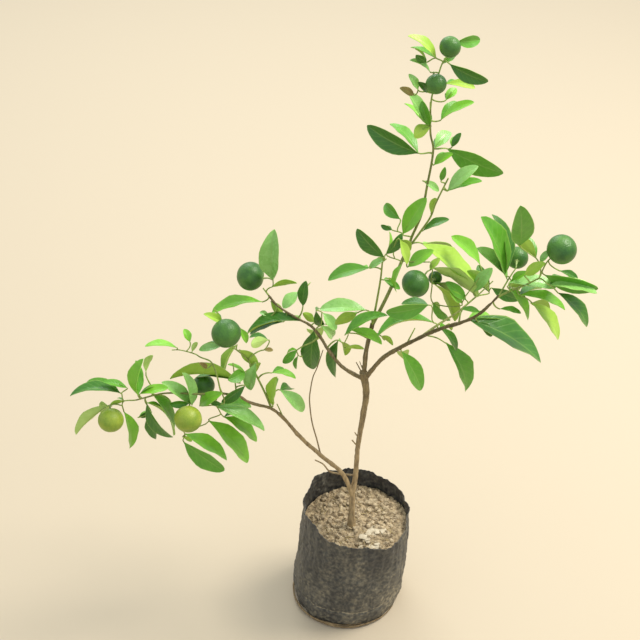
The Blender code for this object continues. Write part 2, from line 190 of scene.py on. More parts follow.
DRY_TWIGS = {
    "withered": ("low_bough", 0.0009, 0.0005, 0.012, [
        (322, 456), (320, 452), (317, 440), (312, 422), (309.5, 401), (310, 393), (313, 377), (317, 368),
        (321, 356), (323, 350)]),
    "parallel": ("trunk", 0.0012, 0.0007, -0.004, [(341.6, 474), (331, 472), (323, 464), (315, 460)]),
    "stub_low": ("trunk", 0.0011, 0.0008, -0.004, [(356, 447), (352, 440)]),
    "stub_mid": ("trunk", 0.0009, 0.0007, -0.003, [(357, 437), (354.5, 432)]),
    "stub_high": ("trunk", 0.0011, 0.0007, 0.002, [(359, 377), (356, 362)]),
    "stub_fork": ("trunk", 0.0008, 0.0006, 0.0, [(358, 370), (359.5, 361)]),
    "short_twig": ("centre_stem", 0.0009, 0.0006, -0.008, [(364, 366), (366, 352)]),
}

# Leaves as they show: for each mass the limbs and twigs that carry it, then for each leaf the pixel of
# its foot, the pixel of its tip, its width in pixels and how it is turned

Leaf = namedtuple("Leaf", "base_u base_v tip_u tip_v width turn")
TOP, GLOSS, UNDER, ARCHED, DARK, YOUNG, BROWN = "top", "gloss", "under", "arched", "dark", "young", "brown"

LEAVES = {
    "left_tip_leaves": (("left_outer_shoot",), [
        (120, 393, 70, 396, 13, ARCHED), (127, 388, 103, 382, 8, TOP), (108, 406, 76, 434, 12, UNDER),
        (124, 412, 131, 448, 12, GLOSS), (138, 395, 143, 359, 12, GLOSS), (146, 372, 152, 355, 8, UNDER),
        (140, 394, 168, 388, 9, GLOSS), (153, 394, 174, 435, 10, TOP), (147, 403, 172, 438, 10, DARK),
        (151, 412, 155, 439, 13, DARK), (139, 417, 152, 412, 6, DARK), (124, 401, 110, 405, 4, UNDER)]),
    "left_fruit_leaves": (("left_outer_shoot",), [
        (191, 404, 162, 382, 14, GLOSS), (192, 405, 183, 373, 12, GLOSS), (190, 403, 170, 404, 8, DARK)]),
    "left_low_leaves": (("left_outer_shoot", "low_bough"), [
        (185, 434, 227, 460, 16, TOP), (184, 442, 224, 471, 16, DARK), (209, 421, 248, 462, 20, TOP),
        (224, 417, 257, 441, 12, TOP), (217, 407, 265, 430, 15, GLOSS), (183, 437, 192, 441, 5, YOUNG)]),
    "left_high_leaves": (("left_high_shoot", "left_twig_up", "left_twig_back", "low_bough"), [
        (240, 383, 170, 378, 14, UNDER), (200, 405, 222, 393, 14, GLOSS), (245, 386, 222, 402, 9, DARK),
        (222, 404, 210, 402, 6, DARK), (245, 372, 228, 380, 14, DARK), (256, 363, 249, 390, 15, GLOSS),
        (237, 345, 225, 378, 7, YOUNG), (222, 346, 199, 350, 10, GLOSS), (222, 322, 204, 314, 10, YOUNG),
        (240, 328, 247, 343, 8, GLOSS), (268, 340, 251, 345, 12, UNDER), (264, 350, 273, 350, 5, BROWN),
        (240, 350, 258, 366, 12, UNDER), (207, 368, 199, 363, 6, BROWN), (177, 348, 145, 346, 6, TOP),
        (190, 342, 184, 329, 9, GLOSS), (192, 352, 197, 342, 6, UNDER)]),
    "left_inner_leaves": (("low_bough", "left_high_shoot"), [
        (273, 406, 277, 377, 10, YOUNG), (280, 390, 304, 411, 16, GLOSS), (272, 373, 296, 378, 7, GLOSS)]),
    "bough_tip_leaves": (("left_bough", "bough_end"), [
        (273, 280, 274, 230, 25, GLOSS), (272, 287, 297, 283, 6, UNDER), (298, 292, 283, 308, 13, GLOSS),
        (303, 306, 306, 281, 12, TOP), (271, 302, 282, 316, 10, UNDER), (269, 316, 260, 312, 6, GLOSS)]),
    "bough_side_leaves": (("left_bough", "bough_end"), [
        (262, 302, 212, 312, 12, TOP), (283, 322, 250, 334, 9, TOP)]),
    "bough_middle_leaves": (("left_bough",), [
        (300, 321, 247, 334, 13, ARCHED), (314, 322, 303, 313, 9, UNDER), (316, 311, 322, 326, 11, DARK),
        (323, 313, 336, 330, 12, GLOSS), (321, 326, 333, 337, 12, GLOSS), (314, 331, 311, 369, 22, TOP),
        (297, 350, 283, 363, 10, DARK), (298, 356, 296, 369, 5, TOP), (338, 341, 335, 377, 12, TOP)]),
    "centre_leaves": (("centre_stem", "centre_twig", "right_bough", "left_bough"), [
        (366, 310, 320, 309, 15, GLOSS), (357, 313, 335, 324, 12, UNDER), (345, 335, 387, 315, 14, ARCHED),
        (351, 330, 382, 344, 12, TOP), (346, 348, 364, 349, 5, UNDER), (381, 336, 393, 345, 6, UNDER)]),
    "right_inner_leaves": (("right_bough", "middle_twig", "leader"), [
        (434, 323, 377, 336, 14, ARCHED), (428, 305, 386, 313, 12, DARK)]),
    "upright_leaves": (("upright_shoot",), [
        (384, 257, 357, 229, 15, DARK), (386, 254, 402, 234, 7, DARK), (386, 259, 369, 268, 8, GLOSS),
        (369, 268, 328, 280, 14, TOP), (384, 280, 400, 289, 8, TOP), (400, 240, 408, 264, 10, YOUNG),
        (402, 264, 396, 292, 6, TOP)]),
    "leader_leaves": (("leader", "leader_twig"), [
        (423, 244, 479, 291, 20, YOUNG), (432, 268, 478, 297, 12, UNDER), (480, 265, 452, 236, 13, GLOSS),
        (408, 267, 433, 250, 14, GLOSS), (430, 270, 440, 258, 8, YOUNG), (432, 283, 455, 321, 10, UNDER),
        (433, 303, 450, 321, 8, DARK), (462, 303, 450, 291, 9, GLOSS)]),
    "leader_fork_leaves": (("leader", "top_stem", "side_shoot"), [
        (403, 234, 426, 198, 20, TOP), (400, 219, 385, 204, 14, DARK), (392, 230, 381, 225, 6, DARK),
        (423, 231, 449, 219, 8, TOP), (431, 213, 436, 198, 8, UNDER)]),
    "top_stem_leaf": (("top_stem",), [(418, 153, 367, 126, 22, DARK)]),
    "side_shoot_leaves": (("side_shoot", "top_stem"), [
        (448, 149, 503, 174, 20, DARK), (452, 147, 461, 133, 8, TOP), (435, 148, 450, 132, 16, GLOSS),
        (434, 165, 453, 153, 10, GLOSS), (448, 190, 478, 166, 14, GLOSS), (448, 191, 482, 181, 9, TOP),
        (441, 181, 445, 167, 7, DARK), (423, 181, 439, 191, 8, GLOSS)]),
    "top_leaves": (("top_stem", "top_tip"), [
        (436, 58, 408, 36, 9, YOUNG), (456, 42, 480, 40, 14, DARK), (444, 63, 456, 54, 8, TOP),
        (450, 64, 488, 82, 14, DARK), (430, 72, 410, 60, 6, GLOSS), (426, 62, 416, 55, 9, DARK),
        (446, 84, 475, 88, 9, YOUNG), (414, 95, 400, 88, 8, BROWN), (418, 90, 409, 74, 8, GLOSS),
        (428, 92, 418, 82, 9, TOP), (426, 124, 409, 93, 11, GLOSS), (430, 126, 422, 101, 12, DARK),
        (441, 120, 474, 102, 8, TOP), (446, 100, 456, 88, 10, GLOSS), (431, 126, 414, 136, 14, UNDER)]),
    "right_high_leaves": (("right_bough", "right_rise", "right_twig", "right_tip_shoot"), [
        (505, 275, 482, 217, 20, TOP), (507, 280, 477, 248, 12, GLOSS), (520, 245, 521, 207, 25, TOP),
        (536, 258, 514, 235, 14, UNDER), (512, 280, 528, 272, 9, GLOSS)]),
    "right_tip_leaves": (("right_tip_shoot", "tip_end", "right_bough"), [
        (540, 263, 550, 250, 8, GLOSS), (525, 275, 545, 263, 12, YOUNG), (545, 275, 598, 289, 14, DARK),
        (510, 283, 556, 287, 14, GLOSS), (550, 285, 597, 293, 13, GLOSS), (560, 271, 578, 280, 8, TOP),
        (508, 286, 524, 284, 6, UNDER), (520, 295, 565, 310, 12, TOP), (558, 293, 588, 326, 14, TOP),
        (532, 303, 559, 339, 14, YOUNG)]),
    "right_low_leaves": (("right_bough", "right_tip_shoot"), [
        (509, 288, 528, 320, 10, GLOSS), (500, 309, 521, 313, 7, TOP), (468, 319, 541, 362, 26, TOP),
        (478, 322, 492, 336, 10, TOP), (480, 312, 462, 309, 7, TOP)]),
    "right_hanging_leaves": (("right_bough", "droop_twig"), [
        (440, 328, 457, 350, 9, TOP), (446, 343, 466, 391, 20, TOP)]),
    "right_under_leaf": (("right_bough",), [(402, 352, 422, 390, 18, TOP)]),
    "right_back_leaves": (("right_back_bough",), [
        (466, 300, 446, 282, 12, TOP), (474, 292, 492, 268, 14, GLOSS), (489, 292, 468, 270, 12, UNDER),
        (492, 288, 520, 300, 12, DARK)]),
}
LEAF_LENGTH_TO_WIDTH = 2.25
LEAF_HALF_THICKNESS = 0.00018
LEAF_LEAN_MOST = math.radians(48)
LEAN_SHARE = 0.8
FAR_LEAF_SIZE = (0.62, 0.85)
TWIG_LEAST = 0.006
DEPTH_SPREAD = 0.025

# Fruit: centre, radius and peel

GREEN_PEEL, TURNING_PEEL = "fruit_green", "fruit_turning"
FRUIT = [
    ((-0.248, -0.085, 0.346), 0.0133, TURNING_PEEL),
    ((-0.169, -0.080, 0.343), 0.0145, TURNING_PEEL),
    ((-0.128, -0.045, 0.428), 0.0152, GREEN_PEEL),
    ((-0.156, -0.030, 0.347), 0.0120, GREEN_PEEL),
    ((-0.108, 0.070, 0.418), 0.0158, GREEN_PEEL),
    ((0.066, 0.000, 0.458), 0.0146, GREEN_PEEL),
    ((0.089, 0.030, 0.444), 0.0073, GREEN_PEEL),
    ((0.163, -0.030, 0.511), 0.0112, GREEN_PEEL),
    ((0.196, -0.080, 0.555), 0.0144, GREEN_PEEL),
    ((0.087, 0.000, 0.725), 0.0100, GREEN_PEEL),
    ((0.076, 0.000, 0.687), 0.0100, GREEN_PEEL),
]
FRUIT_CARRIERS = (
    "left_outer_shoot", "left_high_shoot", "left_twig_up", "bough_end", "leader", "leader_twig",
    "right_rise", "tip_end", "top_tip", "right_tip_shoot", "low_bough", "upright_shoot")

# The bag and the soil, as in the solids

CREASE_HEIGHT = 0.026
BAG_RADIUS = 0.0635
BAG_BULGE = 0.0035
RIM_RADIUS = 0.0615
RIM_HEIGHT = 0.136
RIM_TILT = 0.013
RIM_TILT_HEADING = math.radians(146)
RIM_OFFSET = Vector((0.011, 0.0, 0.0))
RIM_WAVES = ((0.0022, 3, 0.6), (0.0012, 5, 2.0))
BULGE_DROP = 0.08
BAG_OVAL = 0.0012
BAG_CORNERS = 0.0008
FOOT_TUCK = 0.0030
FOOT_TUCK_SHARE = 0.10
SOIL_HEIGHT = 0.1165
SOIL_CENTRE = RIM_OFFSET * 0.85


def rim_height(angle):
    """The height of the bag's uneven rim, which is highest to the left at the back."""
    lean = RIM_TILT * math.cos(angle - RIM_TILT_HEADING)
    waves = sum(rise * math.sin(count * angle + start) for rise, count, start in RIM_WAVES)
    return RIM_HEIGHT + lean + waves


def bag_point(angle, height, inset=0.0):
    """A place on the bag's wall at that height."""
    level = height / RIM_HEIGHT
    radius = BAG_RADIUS + (RIM_RADIUS - BAG_RADIUS) * level
    radius += BAG_BULGE * math.sin(math.pi * min(1.0, level + BULGE_DROP)) * (1.0 - level)
    radius += BAG_OVAL * math.sin(2 * angle + 1.0) + BAG_CORNERS * math.sin(5 * angle) * level
    radius -= FOOT_TUCK * max(0.0, 1.0 - level / FOOT_TUCK_SHARE) + inset
    return Vector((radius * math.cos(angle), radius * math.sin(angle), height)) + RIM_OFFSET * level


# Sizes and colours that a user would change


class OrangeTreeSettings(bpy.types.PropertyGroup):
    """The tree's sizes and colours"""
    seed: IntProperty(name="Seed", description="Seed of the turns and bends of leaves", default=11)
    leaf_scale: FloatProperty(
        name="Leaf scale", description="Width of leaves against the photograph", default=1.0)
    hidden_share: FloatProperty(
        name="Far leaves", description="Share of leaves that have another behind them",
        default=0.62, subtype="FACTOR")
    bark_relief: FloatProperty(
        name="Bark relief", description="Height of the bark's ridges", default=0.00022, unit="LENGTH")
    bark_grain: FloatProperty(
        name="Bark grain", description="Edge of a voxel of the wood", default=0.00058, unit="LENGTH")
    film_wall: FloatProperty(
        name="Film wall", description="Thickness of the bag's film", default=0.0005, unit="LENGTH")
    clod_size: FloatProperty(
        name="Clod size", description="Radius of the largest crumbs of soil", default=0.0042, unit="LENGTH")
    floor_colour: FloatVectorProperty(
        name="Floor colour", description="Colour of the plain floor", size=4, subtype="COLOR",
        default=(0.57, 0.475, 0.345, 1.0))


def settings():
    """The values that the panel shows."""
    return bpy.context.scene.orange_tree


# Material tools


def new_material(name):
    """A new material, with its node tree and its shader."""
    material = bpy.data.materials.new(name)
    material.use_nodes = True
    tree = material.node_tree
    return material, tree, tree.nodes["Principled BSDF"]


def add(tree, kind, **values):
    """A node of that kind: names with a leading capital are inputs, the rest are its own values."""
    node = tree.nodes.new(kind)
    for key, value in values.items():
        if key[0].isupper():
            target = node.inputs[key.replace("_", " ")]
            if isinstance(value, bpy.types.NodeSocket):
                tree.links.new(value, target)
            else:
                target.default_value = value
        else:
            setattr(node, key, value)
    return node


def maths(tree, operation, *values):
    """The result of a Math node."""
    node = tree.nodes.new("ShaderNodeMath")
    node.operation = operation
    for i, value in enumerate(values):
        if isinstance(value, bpy.types.NodeSocket):
            tree.links.new(value, node.inputs[i])
        else:
            node.inputs[i].default_value = value
    return node.outputs[0]


def mix(tree, factor, first, second):
    """A mix of two colours."""
    node = tree.nodes.new("ShaderNodeMix")
    node.data_type = "RGBA"
    for index, value in ((0, factor), (6, first), (7, second)):
        if isinstance(value, bpy.types.NodeSocket):
            tree.links.new(value, node.inputs[index])
        else:
            node.inputs[index].default_value = value
    return node.outputs[2]


def ramp(tree, value, *stops):
    """The colour at a value, from colours at given places."""
    node = add(tree, "ShaderNodeValToRGB", Fac=value)
    band = node.color_ramp
    while len(band.elements) < len(stops):
        band.elements.new(0.5)
    for element, (place, tint) in zip(band.elements, stops):
        element.position = place
        element.color = tint
    return node.outputs[0]


def multiplied(tree, first, second):
    """The product of two colours."""
    node = add(tree, "ShaderNodeMix", data_type="RGBA", blend_type="MULTIPLY")
    node.inputs[0].default_value = 1.0
    tree.links.new(first, node.inputs[6])
    tree.links.new(second, node.inputs[7])
    return node.outputs[2]


def stretched(tree, value, start, end):
    """A value stretched so that start becomes 0 and end becomes 1."""
    return add(tree, "ShaderNodeMapRange", Value=value, From_Min=start, From_Max=end).outputs[0]


def colour(red, green, blue):
    """An opaque colour."""
    return (red, green, blue, 1.0)


def object_noise(tree, scale, detail=4.0, stretch=(1.0, 1.0, 1.0)):
    """Noise that is fixed to the piece."""
    where = add(tree, "ShaderNodeTexCoord").outputs["Object"]
    mapping = add(tree, "ShaderNodeMapping", Vector=where)
    mapping.inputs["Scale"].default_value = stretch
    clouds = add(tree, "ShaderNodeTexNoise", Vector=mapping.outputs[0], Scale=scale, Detail=detail)
    return clouds.outputs["Fac"]


def bump(tree, shader, height, distance, strength=1.0):
    """Relief from a height."""
    node = add(tree, "ShaderNodeBump", Height=height, Distance=distance, Strength=strength)
    tree.links.new(node.outputs[0], shader.inputs["Normal"])


NUMBER, TINT = "NodeSocketFloat", "NodeSocketColor"


def shared_group(build, inputs, outputs):
    """The node group that a function builds, made the first time that it is asked for."""
    group = bpy.data.node_groups.get(build.__name__)
    if group is None:
        group = bpy.data.node_groups.new(build.__name__, "ShaderNodeTree")
        for way, sockets in (("INPUT", inputs), ("OUTPUT", outputs)):
            for name, kind in sockets.items():
                group.interface.new_socket(name, in_out=way, socket_type=kind)
        given = group.nodes.new("NodeGroupInput").outputs
        wanted = group.nodes.new("NodeGroupOutput").inputs
        for name, value in build(group, given).items():
            group.links.new(value, wanted[name])
    return group


def placed(tree, group, **values):
    """The outputs of a group placed in a material with its own values."""
    node = tree.nodes.new("ShaderNodeGroup")
    node.node_tree = group
    for name, value in values.items():
        node.inputs[name.replace("_", " ")].default_value = value
    return node.outputs


def grouped_material(name, group, relief, strength, **values):
    """A material whose colour, roughness and relief all come from a shared group."""
    material, tree, shader = new_material(name)
    surface = placed(tree, group, **values)
    tree.links.new(surface["Colour"], shader.inputs["Base Color"])
    tree.links.new(surface["Roughness"], shader.inputs["Roughness"])
    bump(tree, shader, surface["Height"], relief, strength)
    return material


SURFACE = {"Colour": TINT, "Roughness": NUMBER, "Height": NUMBER}
TWO_TONES = {"Dark": TINT, "Light": TINT}

# Materials


MIDRIB_SHARPNESS = 24.0
VEIN_WAVES = 62.0
VEIN_SLANT = 0.42
VEIN_SHARPNESS = 9.0
VEIN_DEPTH = 0.35
MARGIN_START = 0.455
MARGIN_SHARPNESS = 22.0
MOTTLE_SCALE = 160.0
MOTTLE_DEPTH = 0.4
MARKS = {"Vein": NUMBER, "Margin": NUMBER, "Mottle": NUMBER, "Height": NUMBER}


def leaf_marks(group, given):
    """Midrib, side veins, pale margin and mottling of a leaf, from its own map."""
    place = add(group, "ShaderNodeUVMap", uv_map="UVMap").outputs[0]
    parts = add(group, "ShaderNodeSeparateXYZ", Vector=place)
    side = maths(group, "ABSOLUTE", maths(group, "SUBTRACT", parts.outputs[0], 0.5))
    midrib = maths(group, "SUBTRACT", 1.0, maths(group, "MULTIPLY", side, MIDRIB_SHARPNESS))
    midrib = maths(group, "MAXIMUM", midrib, 0.0)
    slant = maths(group, "SUBTRACT", parts.outputs[1], maths(group, "MULTIPLY", side, VEIN_SLANT))
    wave = maths(group, "SINE", maths(group, "MULTIPLY", slant, given["Vein waves"]))
    ribs = maths(group, "POWER", maths(group, "MAXIMUM", wave, 0.0), VEIN_SHARPNESS)
    veins = maths(group, "MAXIMUM", midrib, maths(group, "MULTIPLY", ribs, VEIN_DEPTH))
    edge = maths(group, "MULTIPLY", maths(group, "SUBTRACT", side, MARGIN_START), MARGIN_SHARPNESS)
    edge = maths(group, "MAXIMUM", edge, 0.0)
    mottle = object_noise(group, MOTTLE_SCALE)
    height = maths(group, "SUBTRACT", maths(group, "MULTIPLY", mottle, MOTTLE_DEPTH), veins)
    return {"Vein": veins, "Margin": edge, "Mottle": mottle, "Height": height}


# The dark and the light green of each leaf finish, and its roughness

LEAF_TINTS = {
    # The deep green on the next line is a leaf tone of its own, and is also painted shade where it is given
    # to leaves that show dark.
    "leaf_deep": (colour(0.030, 0.130, 0.010), colour(0.070, 0.240, 0.016), 0.34),
    "leaf_full": (colour(0.070, 0.260, 0.012), colour(0.150, 0.430, 0.028), 0.36),
    "leaf_bright": (colour(0.150, 0.430, 0.020), colour(0.270, 0.620, 0.045), 0.38),
    # The pale, blue-tinged finish on the next line is painted reflection: it stands for the sky shining on
    # glossy leaf tops.
    "leaf_painted_sky_gloss": (colour(0.190, 0.450, 0.075), colour(0.360, 0.650, 0.190), 0.27),
    "leaf_young": (colour(0.320, 0.540, 0.040), colour(0.460, 0.680, 0.090), 0.42),
    # The two underside finishes are paler than the tops, as the leaves' own undersides are, and their bright
    # yellow-green is also painted light, standing for light shining through the leaf.
    "leaf_under": (colour(0.270, 0.460, 0.030), colour(0.420, 0.610, 0.075), 0.55),
    "leaf_under_pale": (colour(0.380, 0.570, 0.110), colour(0.540, 0.720, 0.220), 0.58),
    "leaf_withered": (colour(0.180, 0.110, 0.030), colour(0.340, 0.270, 0.070), 0.70),
}
VEIN_COLOUR = colour(0.33, 0.52, 0.11)
MARGIN_COLOUR = colour(0.42, 0.58, 0.12)
VEIN_SHARE = 0.42
MARGIN_SHARE = 0.6
GLOSS_SPREAD = 0.16
LEAF_RELIEF = 0.00035
LEAF_RELIEF_STRENGTH = 0.55


def leaf_materials():
    """The leaf finishes by name, each with its own pair of greens."""
    marks = shared_group(leaf_marks, {"Vein waves": NUMBER}, MARKS)
    made = {}
    for name, (dark, light, roughness) in LEAF_TINTS.items():
        material, tree, shader = new_material(name)
        mark = placed(tree, marks, Vein_waves=VEIN_WAVES)
        blade = mix(tree, mark["Mottle"], dark, light)
        veined = mix(tree, maths(tree, "MULTIPLY", mark["Vein"], VEIN_SHARE), blade, VEIN_COLOUR)
        edged = mix(tree, maths(tree, "MULTIPLY", mark["Margin"], MARGIN_SHARE), veined, MARGIN_COLOUR)
        tree.links.new(edged, shader.inputs["Base Color"])
        spread = maths(tree, "MULTIPLY", mark["Mottle"], GLOSS_SPREAD)
        gloss = maths(tree, "ADD", spread, roughness - GLOSS_SPREAD / 2)
        tree.links.new(gloss, shader.inputs["Roughness"])
        bump(tree, shader, mark["Height"], LEAF_RELIEF, LEAF_RELIEF_STRENGTH)
        made[name] = material
    return made


BARK_TURN_HEIGHT = 0.20
BARK_TURN_SPEED = 4.5
BARK_GRAIN_SCALE = 420.0
BARK_GRAIN_STRETCH = (1.0, 1.0, 0.22)
BARK_SHADES = ((0.30, colour(0.55, 0.52, 0.48)), (0.62, colour(1.15, 1.12, 1.05)))
SPECK_SCALE = 520.0
SPECK_SIZE = 0.17
SPECK_SHARE = 0.6
BARK_ROUGHNESS = 0.62
BARK_ROUGHNESS_SPREAD = 0.25
BARK_STRENGTH = 0.8


def bark_grain(group, given):
    """Grain that runs up the limb, from a colour low on the plant to one high on it, with specks."""
    where = add(group, "ShaderNodeTexCoord").outputs["Object"]
    height = add(group, "ShaderNodeSeparateXYZ", Vector=where).outputs[2]
    rise = maths(group, "MULTIPLY", maths(group, "SUBTRACT", height, BARK_TURN_HEIGHT), BARK_TURN_SPEED)
    share = add(group, "ShaderNodeClamp", Value=rise).outputs[0]
    base = mix(group, share, given["Low"], given["High"])
    grain = object_noise(group, BARK_GRAIN_SCALE, 5.0, BARK_GRAIN_STRETCH)
    toned = multiplied(group, base, ramp(group, grain, *BARK_SHADES))
    cells = add(group, "ShaderNodeTexVoronoi", Vector=where, Scale=SPECK_SCALE).outputs["Distance"]
    speck = maths(group, "MULTIPLY", maths(group, "LESS_THAN", cells, SPECK_SIZE), SPECK_SHARE)
    spread = maths(group, "MULTIPLY", grain, BARK_ROUGHNESS_SPREAD)
    return {"Colour": mix(group, speck, toned, given["Specks"]),
            "Roughness": maths(group, "ADD", spread, BARK_ROUGHNESS), "Height": grain}


def bark_material(name, low, high, specks, relief):
    """Bark in its own colours, with its own depth of relief."""
    group = shared_group(bark_grain, {"Low": TINT, "High": TINT, "Specks": TINT}, SURFACE)
    return grouped_material(name, group, relief, BARK_STRENGTH, Low=low, High=high, Specks=specks)


PIT_SCALE = 760.0
PIT_SHADES = ((0.0, colour(0.72, 0.78, 0.70)), (0.45, colour(1.05, 1.05, 1.05)))
PEEL_PATCH_SCALE = 70.0
PEEL_PATCH_RANGE = (0.35, 0.70)
PEEL_ROUGHNESS = 0.34
PEEL_ROUGHNESS_SPREAD = 0.12
PEEL_RELIEF = 0.0004
PEEL_STRENGTH = 0.5


def pitted_peel(group, given):
    """Glossy peel in soft patches, with fine pits."""
    where = add(group, "ShaderNodeTexCoord").outputs["Object"]
    cells = add(group, "ShaderNodeTexVoronoi", Vector=where, Scale=PIT_SCALE).outputs["Distance"]
    patches = object_noise(group, PEEL_PATCH_SCALE, 3.0)
    peel = mix(group, stretched(group, patches, *PEEL_PATCH_RANGE), given["Dark"], given["Light"])
    spread = maths(group, "MULTIPLY", patches, PEEL_ROUGHNESS_SPREAD)
    return {"Colour": multiplied(group, peel, ramp(group, cells, *PIT_SHADES)),
            "Roughness": maths(group, "ADD", spread, PEEL_ROUGHNESS), "Height": cells}


def fruit_material(name, dark, light):
    """Peel in its own pair of colours."""
    group = shared_group(pitted_peel, TWO_TONES, SURFACE)
    return grouped_material(name, group, PEEL_RELIEF, PEEL_STRENGTH, Dark=dark, Light=light)


DUST_SHADES = (
    (0.56, colour(0.022, 0.023, 0.025)), (0.69, colour(0.070, 0.066, 0.055)),
    (0.82, colour(0.160, 0.142, 0.104)), (0.98, colour(0.330, 0.280, 0.190)))
DUST_PATCH_SCALE = 26.0
DUST_PATCH_STRETCH = (1.0, 1.0, 0.6)
DUST_PATCH_SHARE = 0.60
DUST_SPECK_SCALE = 240.0
DUST_SPECK_SHARE = 0.75
DUST_LEVEL = 0.10
DUST_DROP = 0.8
CREASE_SHARPNESS = 900.0
CREASE_SHARE = 0.5
FILM_GLOSS = {"From_Min": 0.55, "From_Max": 0.85, "To_Min": 0.34, "To_Max": 0.86}
FILM_RELIEF = 0.0016
FILM_SPECK_RELIEF = 0.35
FILM_STRENGTH = 0.55


def film_material():
    """Black film gone grey with dust, which lies thicker towards the foot and along the crease."""
    material, tree, shader = new_material("bag_film_dusty")
    where = add(tree, "ShaderNodeTexCoord").outputs["Object"]
    height = add(tree, "ShaderNodeSeparateXYZ", Vector=where).outputs[2]
    broad = object_noise(tree, DUST_PATCH_SCALE, 6.0, DUST_PATCH_STRETCH)
    fine = object_noise(tree, DUST_SPECK_SCALE, 6.0)
    dust = maths(tree, "ADD", maths(tree, "MULTIPLY", broad, DUST_PATCH_SHARE),
                 maths(tree, "MULTIPLY", fine, DUST_SPECK_SHARE))
    low = maths(tree, "MULTIPLY", maths(tree, "SUBTRACT", DUST_LEVEL, height), DUST_DROP)
    off_crease = maths(tree, "ABSOLUTE", maths(tree, "SUBTRACT", height, CREASE_HEIGHT))
    crease = maths(tree, "SUBTRACT", 1.0, maths(tree, "MULTIPLY", off_crease, CREASE_SHARPNESS))
    crease = maths(tree, "MULTIPLY", maths(tree, "MAXIMUM", crease, 0.0), fine)
    dust = maths(tree, "ADD", maths(tree, "ADD", dust, low), maths(tree, "MULTIPLY", crease, CREASE_SHARE))
    tree.links.new(ramp(tree, dust, *DUST_SHADES), shader.inputs["Base Color"])
    rough = add(tree, "ShaderNodeMapRange", Value=dust, **FILM_GLOSS)
    tree.links.new(rough.outputs[0], shader.inputs["Roughness"])
    relief = maths(tree, "ADD", broad, maths(tree, "MULTIPLY", fine, FILM_SPECK_RELIEF))
    bump(tree, shader, relief, FILM_RELIEF, FILM_STRENGTH)
    return material


GRIT_COARSE_SCALE = 190.0
GRIT_COARSE_SHARE = 0.7
GRIT_FINE_SCALE = 900.0
GRIT_FINE_SHARE = 0.3
GRIT_RANGE = (0.36, 0.62)
GRIT_ROUGHNESS = 0.86
GRIT_ROUGHNESS_SPREAD = 0.1
GRIT_RELIEF = 0.0012
GRIT_STRENGTH = 0.9


def soil_grit(group, given):
    """Dry crumbly soil whose tone varies with its grit, and which is darker where its relief is low: painted
    shade in its hollows.
    """
    coarse = object_noise(group, GRIT_COARSE_SCALE, 8.0)
    fine = object_noise(group, GRIT_FINE_SCALE, 5.0)
    both = maths(group, "ADD", maths(group, "MULTIPLY", coarse, GRIT_COARSE_SHARE),
                 maths(group, "MULTIPLY", fine, GRIT_FINE_SHARE))
    # The colour follows the same noise as the relief, so the hollows come out darker: painted shade.
    tint = mix(group, stretched(group, both, *GRIT_RANGE), given["Dark"], given["Light"])
    spread = maths(group, "MULTIPLY", fine, GRIT_ROUGHNESS_SPREAD)
    return {"Colour": tint, "Roughness": maths(group, "ADD", spread, GRIT_ROUGHNESS), "Height": both}


def soil_material(name, dark, pale):
    """Soil, or what soil clings to, in its own pair of colours."""
    group = shared_group(soil_grit, TWO_TONES, SURFACE)
    return grouped_material(name, group, GRIT_RELIEF, GRIT_STRENGTH, Dark=dark, Light=pale)


# Modelling tools


def clear_selection():
    """Object mode, with nothing selected."""
    if bpy.context.object and bpy.context.object.mode != "OBJECT":
        bpy.ops.object.mode_set(mode="OBJECT")
    bpy.ops.object.select_all(action="DESELECT")


def select_only(made):
    """Selects one object and makes it the active one."""
    clear_selection()
    made.select_set(True)
    bpy.context.view_layer.objects.active = made


def apply_modifier(made, kind, **values):
    """Adds a modifier with its values and applies it."""
    select_only(made)
    modifier = made.modifiers.new(kind.lower(), kind)
    for key, value in values.items():
        setattr(modifier, key, value)
    bpy.ops.object.modifier_apply(modifier=modifier.name)


def places_of(made):
    """The places of a mesh's points, a row each."""
    flat = np.empty(len(made.data.vertices) * 3)
    made.data.vertices.foreach_get("co", flat)
    return flat.reshape(-1, 3)


def set_places(made, places):
    """Moves a mesh's points to new places."""
    made.data.vertices.foreach_set("co", np.asarray(places, dtype=float).ravel())
    made.data.update()


def finish_piece(made, name, finish=None, replaced=()):
    """Names a finished piece, gives it its material and ties it to the plant."""
    made.name = name
    made.data.name = name
    if finish is not None:
        made.data.materials.clear()
        made.data.materials.append(finish)
    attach(made, "root")
    if replaced:
        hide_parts(*replaced)
    return made


TUBE_MERGE_GAP = 0.00001


def tubes(routes, resolution=2):
    """One mesh of round tubes, one along each route, closed at both ends."""
    clear_selection()
    bpy.ops.curve.primitive_bezier_curve_add()
    made = bpy.context.object
    data = made.data
    data.splines.clear()
    data.dimensions = "3D"
    data.bevel_depth = 1.0
    data.bevel_resolution = resolution
    data.use_fill_caps = True
    for route in routes:
        spline = data.splines.new("POLY")
        spline.points.add(len(route.path) - 1)
        for point, place, radius in zip(spline.points, route.path, route.radii):
            point.co = (*place, 1.0)
            point.radius = radius
    select_only(made)
    bpy.ops.object.convert(target="MESH")
    made = bpy.context.object
    bpy.ops.object.mode_set(mode="EDIT")
    bpy.ops.mesh.select_all(action="SELECT")
    bpy.ops.mesh.remove_doubles(threshold=TUBE_MERGE_GAP)
    bpy.ops.mesh.normals_make_consistent(inside=False)
    bpy.ops.object.mode_set(mode="OBJECT")
    bpy.ops.object.shade_smooth_by_angle(angle=math.radians(50))
    return made


def roughen(made, height, scale, squash=(1.0, 1.0, 1.0), octaves=3):
    """Raises and lowers the surface along its normals by layered noise."""
    places = places_of(made)
    normals = np.empty(places.size)
    made.data.vertices.foreach_get("normal", normals)
    rises = [noise.fractal(spot, 1.0, 2.0, octaves) for spot in places * np.array(squash) * scale]
    set_places(made, places + normals.reshape(-1, 3) * height * np.array(rises)[:, None])


